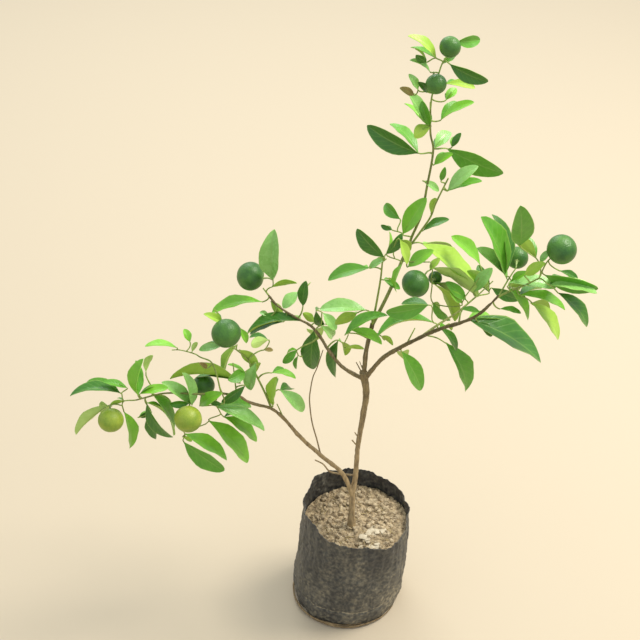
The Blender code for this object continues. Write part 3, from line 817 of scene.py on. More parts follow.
def join(objects):
    """Joins objects into the first of them."""
    clear_selection()
    for made in objects:
        made.select_set(True)
    bpy.context.view_layer.objects.active = objects[0]
    if len(objects) > 1:
        bpy.ops.object.join()
    return bpy.context.object


# The plan of the crown: twigs grow from the limbs to the foot of each leaf


Blade = namedtuple("Blade", "base axis normal length width turn")
Crown = namedtuple("Crown", "limbs twigs dry grown blades")


class Carriers:
    """The limbs and twigs that leaves can grow from, as points with the pixels they show at."""

    def __init__(self, routes):
        self.places = []
        self.ways = []
        self.radii = []
        self.pixels = np.empty((0, 2))
        for route in routes:
            self.add(route)

    def add(self, route):
        """Lets leaves grow from one more limb or twig."""
        path = route.path
        for i in range(len(path) - 1):
            self.places.append(path[i + 1])
            self.ways.append((path[i + 1] - path[i]).normalized())
            self.radii.append(route.radii[i + 1])
        self.pixels = np.vstack([self.pixels, [pixel_of(place) for place in path[1:]]])

    def nearest(self, pixel):
        """The index of the point that shows nearest to a pixel, and how far off it is."""
        gaps = np.hypot(*(self.pixels - np.array(pixel)).T)
        index = int(np.argmin(gaps))
        return index, float(gaps[index])

    def nearest_place(self, place):
        """The index of the point nearest to a place."""
        gaps = np.linalg.norm(np.array(self.places) - np.array(place), axis=1)
        return int(np.argmin(gaps))


def pixel_twig(name, limbs, table):
    """A twig by the pixels that it passes, starting on its limb."""
    limb, foot, tip, behind, pixels = table[name]
    carrier = Carriers([limbs[limb]])
    index, _ = carrier.nearest(Vector(pixels[0]))
    start = carrier.places[index]
    last = len(pixels) - 1
    places = [start]
    for i, (u, v) in enumerate(pixels[1:], 1):
        places.append(seen(u, v, start.y + behind * i / last))
    return smooth_route(places, foot, tip, 6)


STALK_STEPS = 6
STALK_TIP = 0.00068
STALK_FOOT = 0.0008
STALK_TAPER = 0.014
STALK_FIT = 0.95
STALK_DROOP = 0.1


def growth(carrier, index, base, axis, rng):
    """A twig from a carrier's point to a leaf's foot, leaving at a narrow angle."""
    start = carrier.places[index]
    reach = (base - start).length
    along = carrier.ways[index]
    if along.dot(base - start) < 0:
        along = -along
    leave = (along + (base - start).normalized()).normalized()
    droop = Vector([rng.uniform(-STALK_DROOP, STALK_DROOP) for _ in range(3)])
    first = start + (leave + droop) * reach / 3
    second = base - axis * reach / 3
    path = interpolate_bezier(start, first, second, base, STALK_STEPS + 1)
    foot = min(carrier.radii[index] * STALK_FIT, STALK_FOOT + reach * STALK_TAPER)
    return Route(path, [foot + (STALK_TIP - foot) * i / STALK_STEPS for i in range(STALK_STEPS + 1)])


SHOWN_WIDTH = 0.93
SHOWN_LEAST = 0.15
ROLL_MOST = math.radians(72)
DARK_ROLL = 0.6
DARK_TURN = Vector((0.18, 0.0, 0.0))
ARCHED_ROLL = 1.25


def turn_of(leaf, axis, base, width, rng):
    """The normal of the leaf's upper face, rolled so that it shows as wide as in the photograph."""
    to_camera = (CAMERA_PLACE - base).normalized()
    facing = (to_camera - axis * to_camera.dot(axis)).normalized()
    side = axis.cross(facing)
    if side.z < 0:
        side = -side
    shown = leaf.width * SHOWN_WIDTH / FOCAL * (CAMERA_PLACE - base).length / width
    roll = min(math.acos(max(SHOWN_LEAST, min(1.0, shown))), ROLL_MOST) * rng.uniform(0.9, 1.0)
    if leaf.turn == UNDER:
        return -(facing * math.cos(roll) - side * math.sin(roll)).normalized()
    if leaf.turn == DARK:
        return (facing * math.cos(roll) - side * math.sin(roll) * DARK_ROLL - DARK_TURN).normalized()
    if leaf.turn == ARCHED:
        return (facing * math.cos(roll) + side * math.sin(roll) * ARCHED_ROLL).normalized()
    return (facing * math.cos(roll) + side * math.sin(roll)).normalized()


def place_leaf(leaf, depth, rng, scale):
    """The blade that shows from the leaf's foot to its tip, leaning as far as its shape asks."""
    base = seen(leaf.base_u, leaf.base_v, depth)
    flat_tip = seen(leaf.tip_u, leaf.tip_v, depth)
    shown = (flat_tip - base).length
    metres = (CAMERA_PLACE - base).length / FOCAL
    width_shown = leaf.width * metres
    length = max(shown, width_shown * LEAF_LENGTH_TO_WIDTH)
    lean = min(LEAF_LEAN_MOST, math.acos(min(1.0, shown / length)))
    length = shown / math.cos(lean)
    width = max(width_shown, length / LEAF_LENGTH_TO_WIDTH * rng.uniform(0.86, 1.0)) * scale
    away = rng.choice((-1.0, 1.0)) * length * math.sin(lean) * LEAN_SHARE
    axis = seen(leaf.tip_u, leaf.tip_v, depth + away) - base
    length = axis.length
    axis.normalize()
    normal = turn_of(leaf, axis, base, width, rng)
    return Blade(base, axis, normal, length, width, leaf.turn)


def far_leaf(blade, rng):
    """A leaf on the far side of one that shows, kept behind it."""
    swing = Vector((rng.uniform(-0.35, 0.35), rng.uniform(0.35, 0.8), rng.uniform(-0.35, 0.15)))
    axis = (blade.axis * 0.85 + swing).normalized()
    normal = UP + Vector((rng.uniform(-0.5, 0.5), rng.uniform(-0.1, 0.7), 0.0))
    normal = (normal - axis * normal.dot(axis)).normalized()
    size = rng.uniform(*FAR_LEAF_SIZE)
    return Blade(blade.base, axis, normal, blade.length * size, blade.width * size, TOP)


@functools.cache
def crown_for(seed, leaf_scale, hidden_share):
    """The limbs, twigs and blades of the whole plant."""
    limbs = {name: limb_route(name) for name in LIMBS}
    twigs = {name: pixel_twig(name, limbs, TWIGS) for name in TWIGS}
    dry = {name: pixel_twig(name, limbs, DRY_TWIGS) for name in DRY_TWIGS}
    grown = {}
    blades = {}
    for order, (mass, (carrier_names, rows)) in enumerate(LEAVES.items()):
        rng = random.Random(seed * 100 + order)
        carriers = Carriers([limbs.get(name) or twigs[name] for name in carrier_names])
        waiting = [Leaf(*row) for row in rows]
        grown[mass] = []
        blades[mass] = []
        while waiting:
            found = [(carriers.nearest((leaf.base_u, leaf.base_v)), i) for i, leaf in enumerate(waiting)]
            (index, gap), chosen = min(found, key=lambda item: item[0][1])
            leaf = waiting.pop(chosen)
            metres = (CAMERA_PLACE - carriers.places[index]).length / FOCAL
            depth = carriers.places[index].y + rng.uniform(-0.4, 0.4) * min(DEPTH_SPREAD, gap * metres)
            blade = place_leaf(leaf, depth, rng, leaf_scale)
            route = growth(carriers, index, blade.base, blade.axis, rng)
            grown[mass].append(route)
            if gap * metres > TWIG_LEAST:
                carriers.add(route)
            blades[mass].append(blade)
            if rng.random() < hidden_share and blade.turn != BROWN:
                blades[mass].append(far_leaf(blade, rng))
    return Crown(limbs, twigs, dry, grown, blades)


def plan_crown():
    """The crown as the panel's values ask."""
    options = settings()
    return crown_for(options.seed, options.leaf_scale, options.hidden_share)


# Wood


TUBE_ROUNDNESS = 4
BARK_SMOOTHING = 0.6
KNOT_SCALE = 90.0
KNOT_GAIN = 2.2
RIDGE_SCALE = 620.0
RIDGE_STRETCH = (1.0, 1.0, 0.25)


def bark_wood(limbs, dry):
    """Trunk and boughs as one skin, with the ridges of the bark, knots and swellings at the forks."""
    stubs = [route for name, route in dry.items() if "stub" in name]
    made = tubes([limbs[name] for name in BARK_LIMBS] + stubs, TUBE_ROUNDNESS)
    apply_modifier(made, "REMESH", mode="VOXEL", voxel_size=settings().bark_grain, adaptivity=0.0,
                   use_smooth_shade=True)
    apply_modifier(made, "SMOOTH", factor=BARK_SMOOTHING, iterations=3)
    relief = settings().bark_relief
    roughen(made, relief * KNOT_GAIN, KNOT_SCALE)
    roughen(made, relief, RIDGE_SCALE, RIDGE_STRETCH)
    finish = bark_material("trunk_bark_brown", colour(0.38, 0.275, 0.145), colour(0.135, 0.105, 0.040),
                           colour(0.52, 0.44, 0.28), 0.0006)
    return finish_piece(made, "bark_wood", finish, BARK_LIMBS)


def limb_tubes(name, names, limbs, finish):
    """Limbs as one piece of round tubes."""
    made = tubes([limbs[each] for each in names], TUBE_ROUNDNESS)
    return finish_piece(made, name, finish, names)


# Leaves


OUTLINE_LEAST = 0.03
OUTLINE_SHIFT = 1.05
FOOT_NARROWNESS = 0.92
TIP_BLUNTNESS = 0.38
ROW_SPREAD = 0.65
TEMPLATE_HALF = 0.01


def blade_outline(share):
    """The half width, at a share of its length, of a leaf that is narrow at the foot and blunt at the tip."""
    swell = max(0.0, math.sin(math.pi * share ** OUTLINE_SHIFT))
    return max(OUTLINE_LEAST, 0.5 * swell ** (FOOT_NARROWNESS - TIP_BLUNTNESS * share))


def leaf_template():
    """A flat leaf of length 1 and width 1 as a thin closed shell, upper face first."""
    clear_selection()
    bpy.ops.mesh.primitive_grid_add(x_subdivisions=6, y_subdivisions=12, size=1.0, location=(0, 0, 0))
    made = bpy.context.object
    places = places_of(made)
    along = places[:, 1] + 0.5
    places[:, 1] = (1 - ROW_SPREAD) * along + ROW_SPREAD * (0.5 - 0.5 * np.cos(np.pi * along))
    set_places(made, places)
    rows = sorted({round(float(place[1]), 4) for place in places})
    for row in rows:
        bpy.ops.object.mode_set(mode="OBJECT")
        for part in (made.data.polygons, made.data.edges, made.data.vertices):
            part.foreach_set("select", [False] * len(part))
        for vertex in made.data.vertices:
            vertex.select = abs(vertex.co.y - row) < 0.0005
        bpy.ops.object.mode_set(mode="EDIT")
        bpy.ops.mesh.select_mode(type="VERT")
        bpy.ops.transform.resize(value=(2 * blade_outline(row), 1.0, 1.0), center_override=(0.0, row, 0.0))
    bpy.ops.object.mode_set(mode="OBJECT")
    face = bpy.data.materials.new("leaf_face")
    made.data.materials.append(face)
    made.data.materials.append(face)
    apply_modifier(made, "SOLIDIFY", thickness=2 * TEMPLATE_HALF, offset=-1.0, material_offset=1)
    select_only(made)
    bpy.ops.object.shade_smooth_by_angle(angle=math.radians(60))
    return made


ARCH = (0.03, 0.11)
ARCH_STRONG = (0.10, 0.16)
FOLD = (12, 32)
FOLD_STRONG = (24, 36)
TWIST_MOST = 0.5
CURL_MOST = 0.10
CURL_START = 0.6
WAVE = (0.01, 0.05)
WAVE_RATE = 15.0
PHASE_MOST = 6.28


def bend_blade(flat, blade, rng):
    """The places of a leaf's points once it is arched, folded along its midrib, twisted and waved."""
    across, along = flat[:, 0], flat[:, 1]
    face = (flat[:, 2] + TEMPLATE_HALF) / TEMPLATE_HALF
    strong = blade.turn == ARCHED
    arch = rng.uniform(*(ARCH_STRONG if strong else ARCH))
    fold = math.radians(rng.uniform(*(FOLD_STRONG if strong else FOLD)))
    twist = rng.uniform(-TWIST_MOST, TWIST_MOST)
    curl = rng.uniform(0.0, CURL_MOST)
    wave = rng.uniform(*WAVE)
    phase = rng.uniform(0.0, PHASE_MOST)
    axis, normal = np.array(blade.axis), np.array(blade.normal)
    side = np.cross(axis, normal)
    turn = (twist * (along - 0.5))[:, None]
    side_here = side * np.cos(turn) + normal * np.sin(turn)
    normal_here = normal * np.cos(turn) - side * np.sin(turn)
    centre = np.array(blade.base) + np.outer(along * blade.length, axis)
    hump = arch * blade.length * 4 * along * (1 - along)
    hump -= curl * blade.length * np.maximum(along - CURL_START, 0) ** 1.5
    centre += np.outer(hump, normal)
    reach = np.abs(across) * blade.width
    lift = reach * math.sin(fold)
    ripple = np.sin(phase + along * WAVE_RATE + np.sign(across))
    lift += wave * blade.width * ripple * (np.abs(across) * 2) ** 2
    shift = np.sign(across) * reach * math.cos(fold)
    return centre + side_here * shift[:, None] + normal_here * (lift + face * LEAF_HALF_THICKNESS)[:, None]


def leaf_tints(turn, rng):
    """The finishes of the upper and the lower face of a leaf, by how it is turned."""
    upper = {
        # Leaves that show glossy get the pale painted reflection or the bright green, and leaves that show
        # dark get the deeper greens as painted shade.
        GLOSS: ("leaf_painted_sky_gloss", "leaf_painted_sky_gloss", "leaf_bright"), DARK: ("leaf_deep", "leaf_full"),
        YOUNG: ("leaf_young",), BROWN: ("leaf_withered",), ARCHED: ("leaf_full", "leaf_deep"),
    }.get(turn, ("leaf_full", "leaf_full", "leaf_bright", "leaf_deep"))
    lower = ("leaf_withered",) if turn == BROWN else ("leaf_under", "leaf_under", "leaf_under_pale")
    return rng.choice(upper), rng.choice(lower)


def leaf_spray(mass, blades, template, finishes, seed):
    """All the leaves of one mass as one piece."""
    rng = random.Random(seed)
    flat = places_of(template)
    made = []
    for blade in blades:
        copy = bpy.data.objects.new("leaf", template.data.copy())
        bpy.context.scene.collection.objects.link(copy)
        set_places(copy, bend_blade(flat, blade, rng))
        for index, name in enumerate(leaf_tints(blade.turn, rng)):
            copy.data.materials[index] = finishes[name]
        made.append(copy)
    name = mass.replace("_leaves", "_spray").replace("_leaf", "_spray")
    return finish_piece(join(made), name, None, (mass,))


# Fruit


DIMPLE_DEPTH = 0.07
DIMPLE_WIDTH = 0.035
EYE_DEPTH = 0.03
EYE_WIDTH = 0.012
PEEL_UNEVENNESS = 0.012
FRUIT_FLATNESS = 0.95
CALYX_SEAT = 0.885
CALYX_RADIUS = 0.0022
CALYX_LOBE = 0.22
CALYX_THICKNESS = 0.0007


def fruit_globe(centre, radius, stalk_way, rng):
    """A slightly flattened fruit with a dimple where its stalk meets it."""
    clear_selection()
    bpy.ops.mesh.primitive_uv_sphere_add(segments=56, ring_count=36, radius=1.0)
    made = bpy.context.object
    turn = UP.rotation_difference(stalk_way).to_matrix()
    places = []
    for vertex in made.data.vertices:
        spot = vertex.co.normalized()
        near_stalk = math.exp(-((1.0 - spot.z) / DIMPLE_WIDTH))
        near_eye = math.exp(-((1.0 + spot.z) / EYE_WIDTH))
        size = 1.0 - DIMPLE_DEPTH * near_stalk - EYE_DEPTH * near_eye
        size += PEEL_UNEVENNESS * noise.noise(spot * 1.7 + Vector((rng.random(), centre.x * 9, 0)))
        shaped = Vector((spot.x, spot.y, spot.z * FRUIT_FLATNESS)) * size * radius
        places.append(turn @ shaped + centre)
    set_places(made, places)
    bpy.ops.object.shade_smooth()
    return made


def fruit_calyx(centre, radius, stalk_way):
    """The five-lobed cap on a fruit."""
    clear_selection()
    bpy.ops.mesh.primitive_uv_sphere_add(segments=20, ring_count=8, radius=1.0)
    made = bpy.context.object
    turn = UP.rotation_difference(stalk_way).to_matrix()
    seat = centre + stalk_way * radius * CALYX_SEAT
    places = []
    for vertex in made.data.vertices:
        spot = vertex.co
        wide = CALYX_RADIUS * (1.0 + CALYX_LOBE * math.cos(5 * math.atan2(spot.y, spot.x)))
        places.append(turn @ Vector((spot.x * wide, spot.y * wide, spot.z * CALYX_THICKNESS)) + seat)
    set_places(made, places)
    bpy.ops.object.shade_smooth()
    return made


# Bag and soil


def share_grid(columns, rows):
    """A flat grid, and the shares, 0 to 1 each way, at which its points lie."""
    clear_selection()
    bpy.ops.mesh.primitive_grid_add(x_subdivisions=columns, y_subdivisions=rows, size=1.0)
    made = bpy.context.object
    return made, places_of(made)[:, :2] + 0.5


SAG_DEPTH = 0.0021
FOLD_DEPTH = 0.0020
CRUMPLE_DEPTH = 0.0006
GATHER_DEPTH = 0.0005
GATHER_HEIGHT = 0.008
CREASE_DEPTH = 0.0011
CREASE_WIDTH = 0.0016
LIP_DEPTH = 0.0012
LIP_HEIGHT = 0.006
RIM_FRAY = 0.0007
FILM_INSET = 0.0008
FLOOR_GAP = 0.0004
FOOT_BAND = 0.0006
FILM_MERGE_GAP = 0.00002
FLOOR_INSET = 0.004


def round_bag(angle, spread, rise):
    """A place in the noise that meets itself round the bag."""
    return Vector((math.cos(angle) * spread, math.sin(angle) * spread, rise))


def film_wrinkle(angle, height, top):
    """How far the film stands out of its smooth wall: folds, creases and dents."""
    soft = SAG_DEPTH * noise.fractal(round_bag(angle, 3.1, height * 28), 0.9, 2.1, 3)
    folds = FOLD_DEPTH * abs(noise.noise(round_bag(angle, 9.0, height * 9)))
    folds *= 0.4 + 0.9 * (height / top) ** 2
    fine = CRUMPLE_DEPTH * noise.fractal(round_bag(angle, 17, height * 210), 0.8, 2.0, 2)
    gather = GATHER_DEPTH * math.exp(-height / GATHER_HEIGHT)
    gather *= math.sin(angle * 17 + 2 * math.sin(angle * 3))
    crease = -CREASE_DEPTH * math.exp(-((height - CREASE_HEIGHT) / CREASE_WIDTH) ** 2)
    lip = LIP_DEPTH * math.exp(-(top - height) / LIP_HEIGHT)
    lip *= math.sin(angle * 11 + 1.3 * math.sin(4 * angle))
    return soft + folds + fine + gather + crease + lip


def bag_film():
    """The thin film bag with its wrinkles, crease and uneven rim."""
    made, shares = share_grid(288, 110)
    places = []
    for around, up in shares:
        angle = 2 * math.pi * around
        top = rim_height(angle) + RIM_FRAY * noise.noise(round_bag(angle, 14, 5))
        height = FLOOR_GAP + (top - FLOOR_GAP) * up
        out = Vector((math.cos(angle), math.sin(angle), 0.0))
        places.append(bag_point(angle, height) + out * (film_wrinkle(angle, height, top) - FILM_INSET))
    set_places(made, places)
    select_only(made)
    bpy.ops.object.mode_set(mode="EDIT")
    bpy.ops.mesh.select_all(action="SELECT")
    bpy.ops.mesh.remove_doubles(threshold=FILM_MERGE_GAP)
    bpy.ops.mesh.select_all(action="DESELECT")
    bpy.ops.object.mode_set(mode="OBJECT")
    for edge in made.data.edges:
        ends = [made.data.vertices[i].co.z for i in edge.vertices]
        edge.select = max(ends) < FOOT_BAND
    bpy.ops.object.mode_set(mode="EDIT")
    bpy.ops.mesh.select_mode(type="EDGE")
    bpy.ops.mesh.edge_face_add()
    bpy.ops.mesh.inset(thickness=FLOOR_INSET)
    bpy.ops.mesh.select_all(action="SELECT")
    bpy.ops.mesh.normals_make_consistent(inside=False)
    bpy.ops.object.mode_set(mode="OBJECT")
    apply_modifier(made, "SOLIDIFY", thickness=settings().film_wall, offset=-1.0)
    select_only(made)
    bpy.ops.object.shade_smooth_by_angle(angle=math.radians(55))
    return finish_piece(made, "bag_film_skin", film_material(), ("bag",))


SEAM_LAPS = ((150, 285, 0.0), (205, 330, 0.0016))
SEAM_STEPS = 24
SEAM_HEIGHT = 0.0048
SEAM_WAVE = 0.0006
SEAM_REACH = 0.0022
SEAM_ROUGHNESS = 0.0005


def bag_seam():
    """The welded edge of the film, folded under and showing as a brown lip round the front of the foot."""
    routes = []
    for start, end, drop in SEAM_LAPS:
        places = []
        for step in range(SEAM_STEPS + 1):
            angle = math.radians(start + (end - start) * step / SEAM_STEPS)
            swell = math.sin(math.pi * step / SEAM_STEPS)
            out = Vector((math.cos(angle), math.sin(angle), 0.0)) * (SEAM_REACH * swell + drop * 0.4)
            places.append(bag_point(angle, SEAM_HEIGHT - drop + SEAM_WAVE * math.sin(angle * 9)) + out)
        path, radii = smooth_route(places, 0.0013, 0.0011, 3)
        last = len(radii) - 1
        radii = [radius * (0.35 + 0.65 * math.sin(math.pi * i / last)) for i, radius in enumerate(radii)]
        routes.append(Route(path, radii))
    made = tubes(routes, 3)
    roughen(made, SEAM_ROUGHNESS, 160.0)
    finish = soil_material("seam_dusty", colour(0.150, 0.095, 0.045), colour(0.340, 0.240, 0.120))
    return finish_piece(made, "bag_seam", finish)


CLOD_DEPTH = 0.0042
CLOD_SCALE = 150.0
GRIT_DEPTH = 0.0012
GRIT_SCALE = 420.0
HEAP_DEPTH = 0.0028
HEAP_SCALE = 45.0
TRUNK_MOUND = 0.0035
TRUNK_MOUND_RADIUS = 0.012
EDGE_DROP = 0.004
EDGE_START = 0.6
SOIL_FOOT_SHARE = 0.9


def soil_level(x, y):
    """The height of the soil's top, with clods, hollows, a mound round the trunk and a lower edge."""
    place = Vector((x, y, 0.0))
    near_trunk = math.exp(-((place.xy - TRUNK_FOOT.xy).length / TRUNK_MOUND_RADIUS) ** 2)
    reach = min(1.0, (place - SOIL_CENTRE).length / RIM_RADIUS)
    cells = noise.voronoi(place * CLOD_SCALE)[0]
    clods = CLOD_DEPTH * (0.55 - cells[0]) + GRIT_DEPTH * noise.fractal(place * GRIT_SCALE, 0.8, 2.0, 3)
    broad = HEAP_DEPTH * noise.noise(place * HEAP_SCALE)
    return SOIL_HEIGHT + clods + broad + TRUNK_MOUND * near_trunk - EDGE_DROP * max(0.0, reach - EDGE_START)


def soil_surface():
    """The body of the soil, closed from the bag's floor to its rough top."""
    made, shares = share_grid(190, 190)
    places = []
    for across, back in shares:
        x, y = 2 * across - 1, 2 * back - 1
        disc = Vector((x * math.sqrt(1 - y * y / 2), y * math.sqrt(1 - x * x / 2)))
        edge = bag_point(math.atan2(disc.y, disc.x), SOIL_HEIGHT, 0.0022) - SOIL_CENTRE
        spot = disc * Vector((edge.x, edge.y)).length
        spot.x += SOIL_CENTRE.x
        places.append((spot.x, spot.y, soil_level(spot.x, spot.y)))
    set_places(made, places)
    select_only(made)
    bpy.ops.object.mode_set(mode="EDIT")
    bpy.ops.mesh.select_all(action="SELECT")
    bpy.ops.mesh.extrude_region_move()
    bpy.ops.transform.resize(
        value=(SOIL_FOOT_SHARE, SOIL_FOOT_SHARE, 0.0), center_override=(0.0, 0.0, 0.004))
    bpy.ops.mesh.select_all(action="SELECT")
    bpy.ops.mesh.normals_make_consistent(inside=False)
    bpy.ops.object.mode_set(mode="OBJECT")
    bpy.ops.object.shade_smooth_by_angle(angle=math.radians(40))
    finish = soil_material("soil_dry", colour(0.13, 0.090, 0.048), colour(0.52, 0.40, 0.24))
    return finish_piece(made, "soil_surface", finish, ("soil",))


SCATTER_RADIUS = 0.058
CRUMB_COUNT = 620
CRUMB_LEAST = 0.16
CHIP_COUNT = 16
CHIP_SIZE = (0.0022, 0.0058)
CHIP_FLATNESS = 0.20
STALK_COUNT = 26
STALK_LIFT = 0.0014
STALK_HALF_LENGTH = (0.003, 0.009)


def scattered(count, rng, reach=0.92):
    """Random places on the soil."""
    for _ in range(count):
        angle = rng.uniform(0, 2 * math.pi)
        share = math.sqrt(rng.random()) * reach
        x = SOIL_CENTRE.x + math.cos(angle) * SCATTER_RADIUS * share
        y = math.sin(angle) * SCATTER_RADIUS * share
        yield Vector((x, y, soil_level(x, y)))


def crumb_template():
    """A ball of a few faces, from which every crumb and chip is shaped."""
    clear_selection()
    bpy.ops.mesh.primitive_ico_sphere_add(subdivisions=2, radius=1.0)
    return bpy.context.object


def crumb(template, place, size, flat, rng, tilt=1.0):
    """A lump of soil, shaped on a copy of the ball."""
    made = bpy.data.objects.new("crumb", template.data.copy())
    bpy.context.scene.collection.objects.link(made)
    turn = Vector((rng.uniform(-tilt, tilt), rng.uniform(-tilt, tilt), rng.uniform(0.6, 1.0))).normalized()
    spin = UP.rotation_difference(turn).to_matrix()
    shift = Vector((rng.random() * 9, rng.random() * 9, rng.random() * 9))
    wide = rng.uniform(0.7, 1.2)
    places = []
    for vertex in made.data.vertices:
        spot = vertex.co
        bulk = 1.0 + 0.35 * noise.noise(spot * 1.6 + shift)
        shaped = Vector((spot.x * wide, spot.y, spot.z * flat)) * size * bulk
        places.append(spin @ shaped + place + UP * size * flat * 0.3)
    set_places(made, places)
    return made


def soil_crumbs(template):
    """Loose clods and crumbs on the soil, most of them small."""
    rng = random.Random(7)
    largest = settings().clod_size
    made = []
    for place in scattered(CRUMB_COUNT, rng):
        size = largest * (CRUMB_LEAST + (1 - CRUMB_LEAST) * rng.random() ** 3.0)
        made.append(crumb(template, place, size, rng.uniform(0.6, 0.9), rng))
    finish = soil_material("soil_crumb", colour(0.20, 0.145, 0.085), colour(0.58, 0.46, 0.29))
    return finish_piece(join(made), "soil_crumbs", finish)


def soil_chips(template):
    """Pale flat chips to the right in front of the trunk."""
    rng = random.Random(19)
    made = []
    for _ in range(CHIP_COUNT):
        x, y = rng.uniform(0.012, 0.044), rng.uniform(-0.046, -0.012)
        place = Vector((x, y, soil_level(x, y) + 0.0008))
        made.append(crumb(template, place, rng.uniform(*CHIP_SIZE), CHIP_FLATNESS, rng, 0.2))
    finish = soil_material("soil_chip", colour(0.44, 0.36, 0.24), colour(0.64, 0.55, 0.40))
    return finish_piece(join(made), "soil_chips", finish)


def dry_stalks():
    """Bits of straw and dead stalk on the soil."""
    rng = random.Random(23)
    lift = UP * STALK_LIFT
    routes = []
    for place in scattered(STALK_COUNT, rng, 0.8):
        heading = rng.uniform(0, 2 * math.pi)
        half = Vector((math.cos(heading), math.sin(heading), rng.uniform(-0.1, 0.15)))
        half *= rng.uniform(*STALK_HALF_LENGTH)
        middle = place + lift + Vector((rng.uniform(-1, 1), rng.uniform(-1, 1), 0.4)) * 0.001
        routes.append(smooth_route([place + lift - half, middle, place + lift + half], 0.00045, 0.0003, 4))
    straw = colour(0.46, 0.36, 0.18)
    finish = bark_material("dry_stalk", straw, straw, colour(0.60, 0.50, 0.30), 0.0003)
    return finish_piece(tubes(routes, 1), "dry_stalks", finish)


# Operators


class ORANGE_OT_wood(bpy.types.Operator):
    """Trunk and main boughs with bark relief, the smaller limbs and the green shoots"""
    bl_idname = "orange.wood"
    bl_label = "Wood"

    def execute(self, context):
        crown = plan_crown()
        limbs = crown.limbs
        bark_wood(limbs, crown.dry)
        brown = bark_material("bough_bark_olive", colour(0.21, 0.170, 0.065), colour(0.230, 0.270, 0.070),
                              colour(0.30, 0.28, 0.14), 0.0004)
        limb_tubes("bough_wood", BOUGH_LIMBS, limbs, brown)
        green = bark_material("shoot_bark_green", colour(0.26, 0.31, 0.07), colour(0.27, 0.36, 0.08),
                              colour(0.34, 0.38, 0.13), 0.0003)
        limb_tubes("green_shoots", GREEN_LIMBS, limbs, green)
        return {"FINISHED"}


class ORANGE_OT_twigs(bpy.types.Operator):
    """Twigs and leaf stalks from the limbs to every leaf, and the dry twigs"""
    bl_idname = "orange.twigs"
    bl_label = "Twigs"

    def execute(self, context):
        crown = plan_crown()
        green = bark_material("twig_green", colour(0.30, 0.36, 0.08), colour(0.31, 0.43, 0.10),
                              colour(0.36, 0.42, 0.15), 0.0002)
        brown = bark_material("dry_twig_brown", colour(0.30, 0.22, 0.12), colour(0.26, 0.19, 0.10),
                              colour(0.46, 0.38, 0.24), 0.0003)
        stalks = [route for routes in crown.grown.values() for route in routes]
        finish_piece(tubes(list(crown.twigs.values()) + stalks, 2), "twigs", green)
        dry = [route for name, route in crown.dry.items() if "stub" not in name]
        finish_piece(tubes(dry, 2), "dry_twigs", brown)
        return {"FINISHED"}


class ORANGE_OT_leaves(bpy.types.Operator):
    """The sprays of leaves, one piece for each mass"""
    bl_idname = "orange.leaves"
    bl_label = "Leaves"

    def execute(self, context):
        blades = plan_crown().blades
        template = leaf_template()
        finishes = leaf_materials()
        for order, (mass, group) in enumerate(blades.items()):
            leaf_spray(mass, group, template, finishes, settings().seed + order)
        bpy.data.objects.remove(template)
        return {"FINISHED"}


class ORANGE_OT_fruit(bpy.types.Operator):
    """The green fruit with their caps and stalks"""
    bl_idname = "orange.fruit"
    bl_label = "Fruit"

    def execute(self, context):
        crown = plan_crown()
        rng = random.Random(31)
        routes = [crown.limbs.get(name) or crown.twigs[name] for name in FRUIT_CARRIERS]
        routes += [route for group in crown.grown.values() for route in group]
        carriers = Carriers(routes)
        peels = {
            GREEN_PEEL: fruit_material(GREEN_PEEL, colour(0.026, 0.108, 0.012), colour(0.078, 0.215, 0.022)),
            TURNING_PEEL: fruit_material(
                TURNING_PEEL, colour(0.200, 0.310, 0.020), colour(0.360, 0.430, 0.040))}
        globes, caps, stalks = [], [], []
        for spot, radius, peel in FRUIT:
            centre = Vector(spot)
            index = carriers.nearest_place(centre + UP * radius * 0.6)
            start = carriers.places[index]
            way = (start - centre).normalized()
            globe = fruit_globe(centre, radius, way, rng)
            globe.data.materials.append(peels[peel])
            globes.append(globe)
            caps.append(fruit_calyx(centre, radius, way))
            end = centre + way * radius * 0.88
            bend = (start + end) / 2 + UP * 0.0015
            stalks.append(smooth_route([start, bend, end], 0.0007, 0.0010, 5))
        finish_piece(join(globes), "fruit")
        pale_green = colour(0.30, 0.40, 0.14)
        cap = bark_material("calyx_green", pale_green, pale_green, colour(0.45, 0.52, 0.28), 0.0002)
        finish_piece(join(caps + [tubes(stalks, 2)]), "fruit_stalks", cap)
        return {"FINISHED"}


class ORANGE_OT_bag(bpy.types.Operator):
    """The wrinkled film bag"""
    bl_idname = "orange.bag"
    bl_label = "Bag"

    def execute(self, context):
        bag_film()
        bag_seam()
        return {"FINISHED"}


class ORANGE_OT_soil(bpy.types.Operator):
    """The soil with its crumbs, chips and dry stalks"""
    bl_idname = "orange.soil"
    bl_label = "Soil"

    def execute(self, context):
        soil_surface()
        template = crumb_template()
        soil_crumbs(template)
        soil_chips(template)
        bpy.data.objects.remove(template)
        dry_stalks()
        return {"FINISHED"}


FLOOR_SIDE = 8.0
FLOOR_ROUGHNESS = 0.9
SKY_TINT = (0.90, 0.96, 1.0, 1.0)
SKY_STRENGTH = 0.85
LAMP_AIM = Vector((0.0, 0.0, 0.35))

# Each lamp's place, size, power and tint

LAMPS = {
    "key": ((1.3, 0.3, 2.4), 1.0, 62.0, (1.0, 0.96, 0.88)),
    "back": ((-0.5, 1.8, 1.9), 1.4, 22.0, (0.95, 1.0, 1.0)),
}


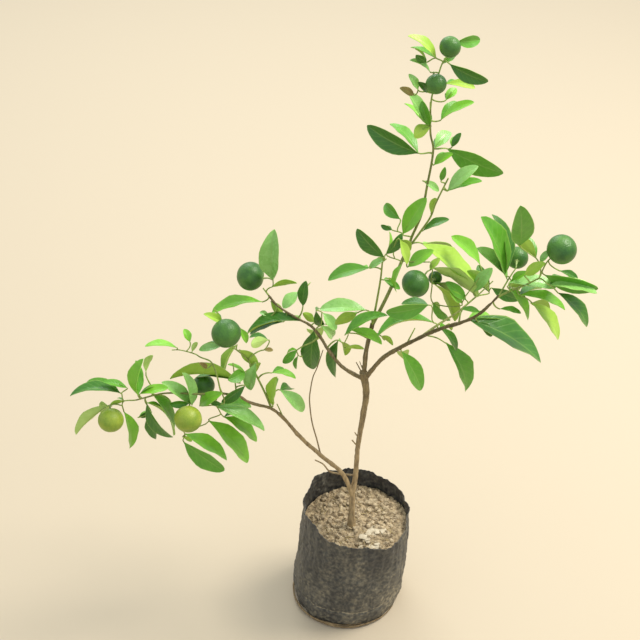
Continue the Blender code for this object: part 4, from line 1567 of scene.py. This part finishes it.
class ORANGE_OT_stage(bpy.types.Operator):
    """Floor, light and camera"""
    bl_idname = "orange.stage"
    bl_label = "Stage"

    def execute(self, context):
        clear_selection()
        bpy.ops.mesh.primitive_plane_add(size=FLOOR_SIDE)
        floor = context.object
        floor.name = "floor"
        material, _, shader = new_material("floor_plain")
        shader.inputs["Base Color"].default_value = settings().floor_colour
        shader.inputs["Roughness"].default_value = FLOOR_ROUGHNESS
        floor.data.materials.append(material)
        world = bpy.data.worlds.new("soft_sky")
        context.scene.world = world
        world.use_nodes = True
        sky = world.node_tree.nodes["Background"]
        sky.inputs["Color"].default_value = SKY_TINT
        sky.inputs["Strength"].default_value = SKY_STRENGTH
        for name, values in LAMPS.items():
            self.lamp(name, *values)
        tilt = (math.radians(90) - LOOK_DOWN, 0.0, 0.0)
        bpy.ops.object.camera_add(location=CAMERA_PLACE, rotation=tilt)
        camera = context.object
        camera.data.lens = LENS
        camera.data.sensor_width = SENSOR
        context.scene.camera = camera
        context.scene.view_settings.view_transform = "Standard"
        return {"FINISHED"}

    def lamp(self, name, place, size, power, tint):
        """A soft square lamp aimed at the middle of the plant"""
        turn = (LAMP_AIM - Vector(place)).to_track_quat("-Z", "Y").to_euler()
        bpy.ops.object.light_add(type="AREA", location=place, rotation=turn)
        lamp = bpy.context.object
        lamp.name = name
        lamp.data.size = size
        lamp.data.energy = power
        lamp.data.color = tint


OPERATORS = (
    ORANGE_OT_wood, ORANGE_OT_twigs, ORANGE_OT_leaves, ORANGE_OT_fruit, ORANGE_OT_bag,
    ORANGE_OT_soil, ORANGE_OT_stage)


class ORANGE_PT_panel(bpy.types.Panel):
    """The sizes of the tree and a button for each of its parts"""
    bl_idname = "ORANGE_PT_panel"
    bl_label = "Potted orange tree"
    bl_space_type = "VIEW_3D"
    bl_region_type = "UI"
    bl_category = "Orange tree"

    def draw(self, context):
        for name in OrangeTreeSettings.__annotations__:
            self.layout.prop(context.scene.orange_tree, name)
        for operator in OPERATORS:
            self.layout.operator(operator.bl_idname)


def register():
    for each in (OrangeTreeSettings, *OPERATORS, ORANGE_PT_panel):
        bpy.utils.register_class(each)
    bpy.types.Scene.orange_tree = PointerProperty(type=OrangeTreeSettings)


def unregister():
    del bpy.types.Scene.orange_tree
    for each in reversed((OrangeTreeSettings, *OPERATORS, ORANGE_PT_panel)):
        bpy.utils.unregister_class(each)


def main():
    """Makes every piece in order."""
    register()
    bpy.ops.orange.wood()
    bpy.ops.orange.twigs()
    bpy.ops.orange.leaves()
    bpy.ops.orange.fruit()
    bpy.ops.orange.bag()
    bpy.ops.orange.soil()
    bpy.ops.orange.stage()


if __name__ == "__main__":
    main()
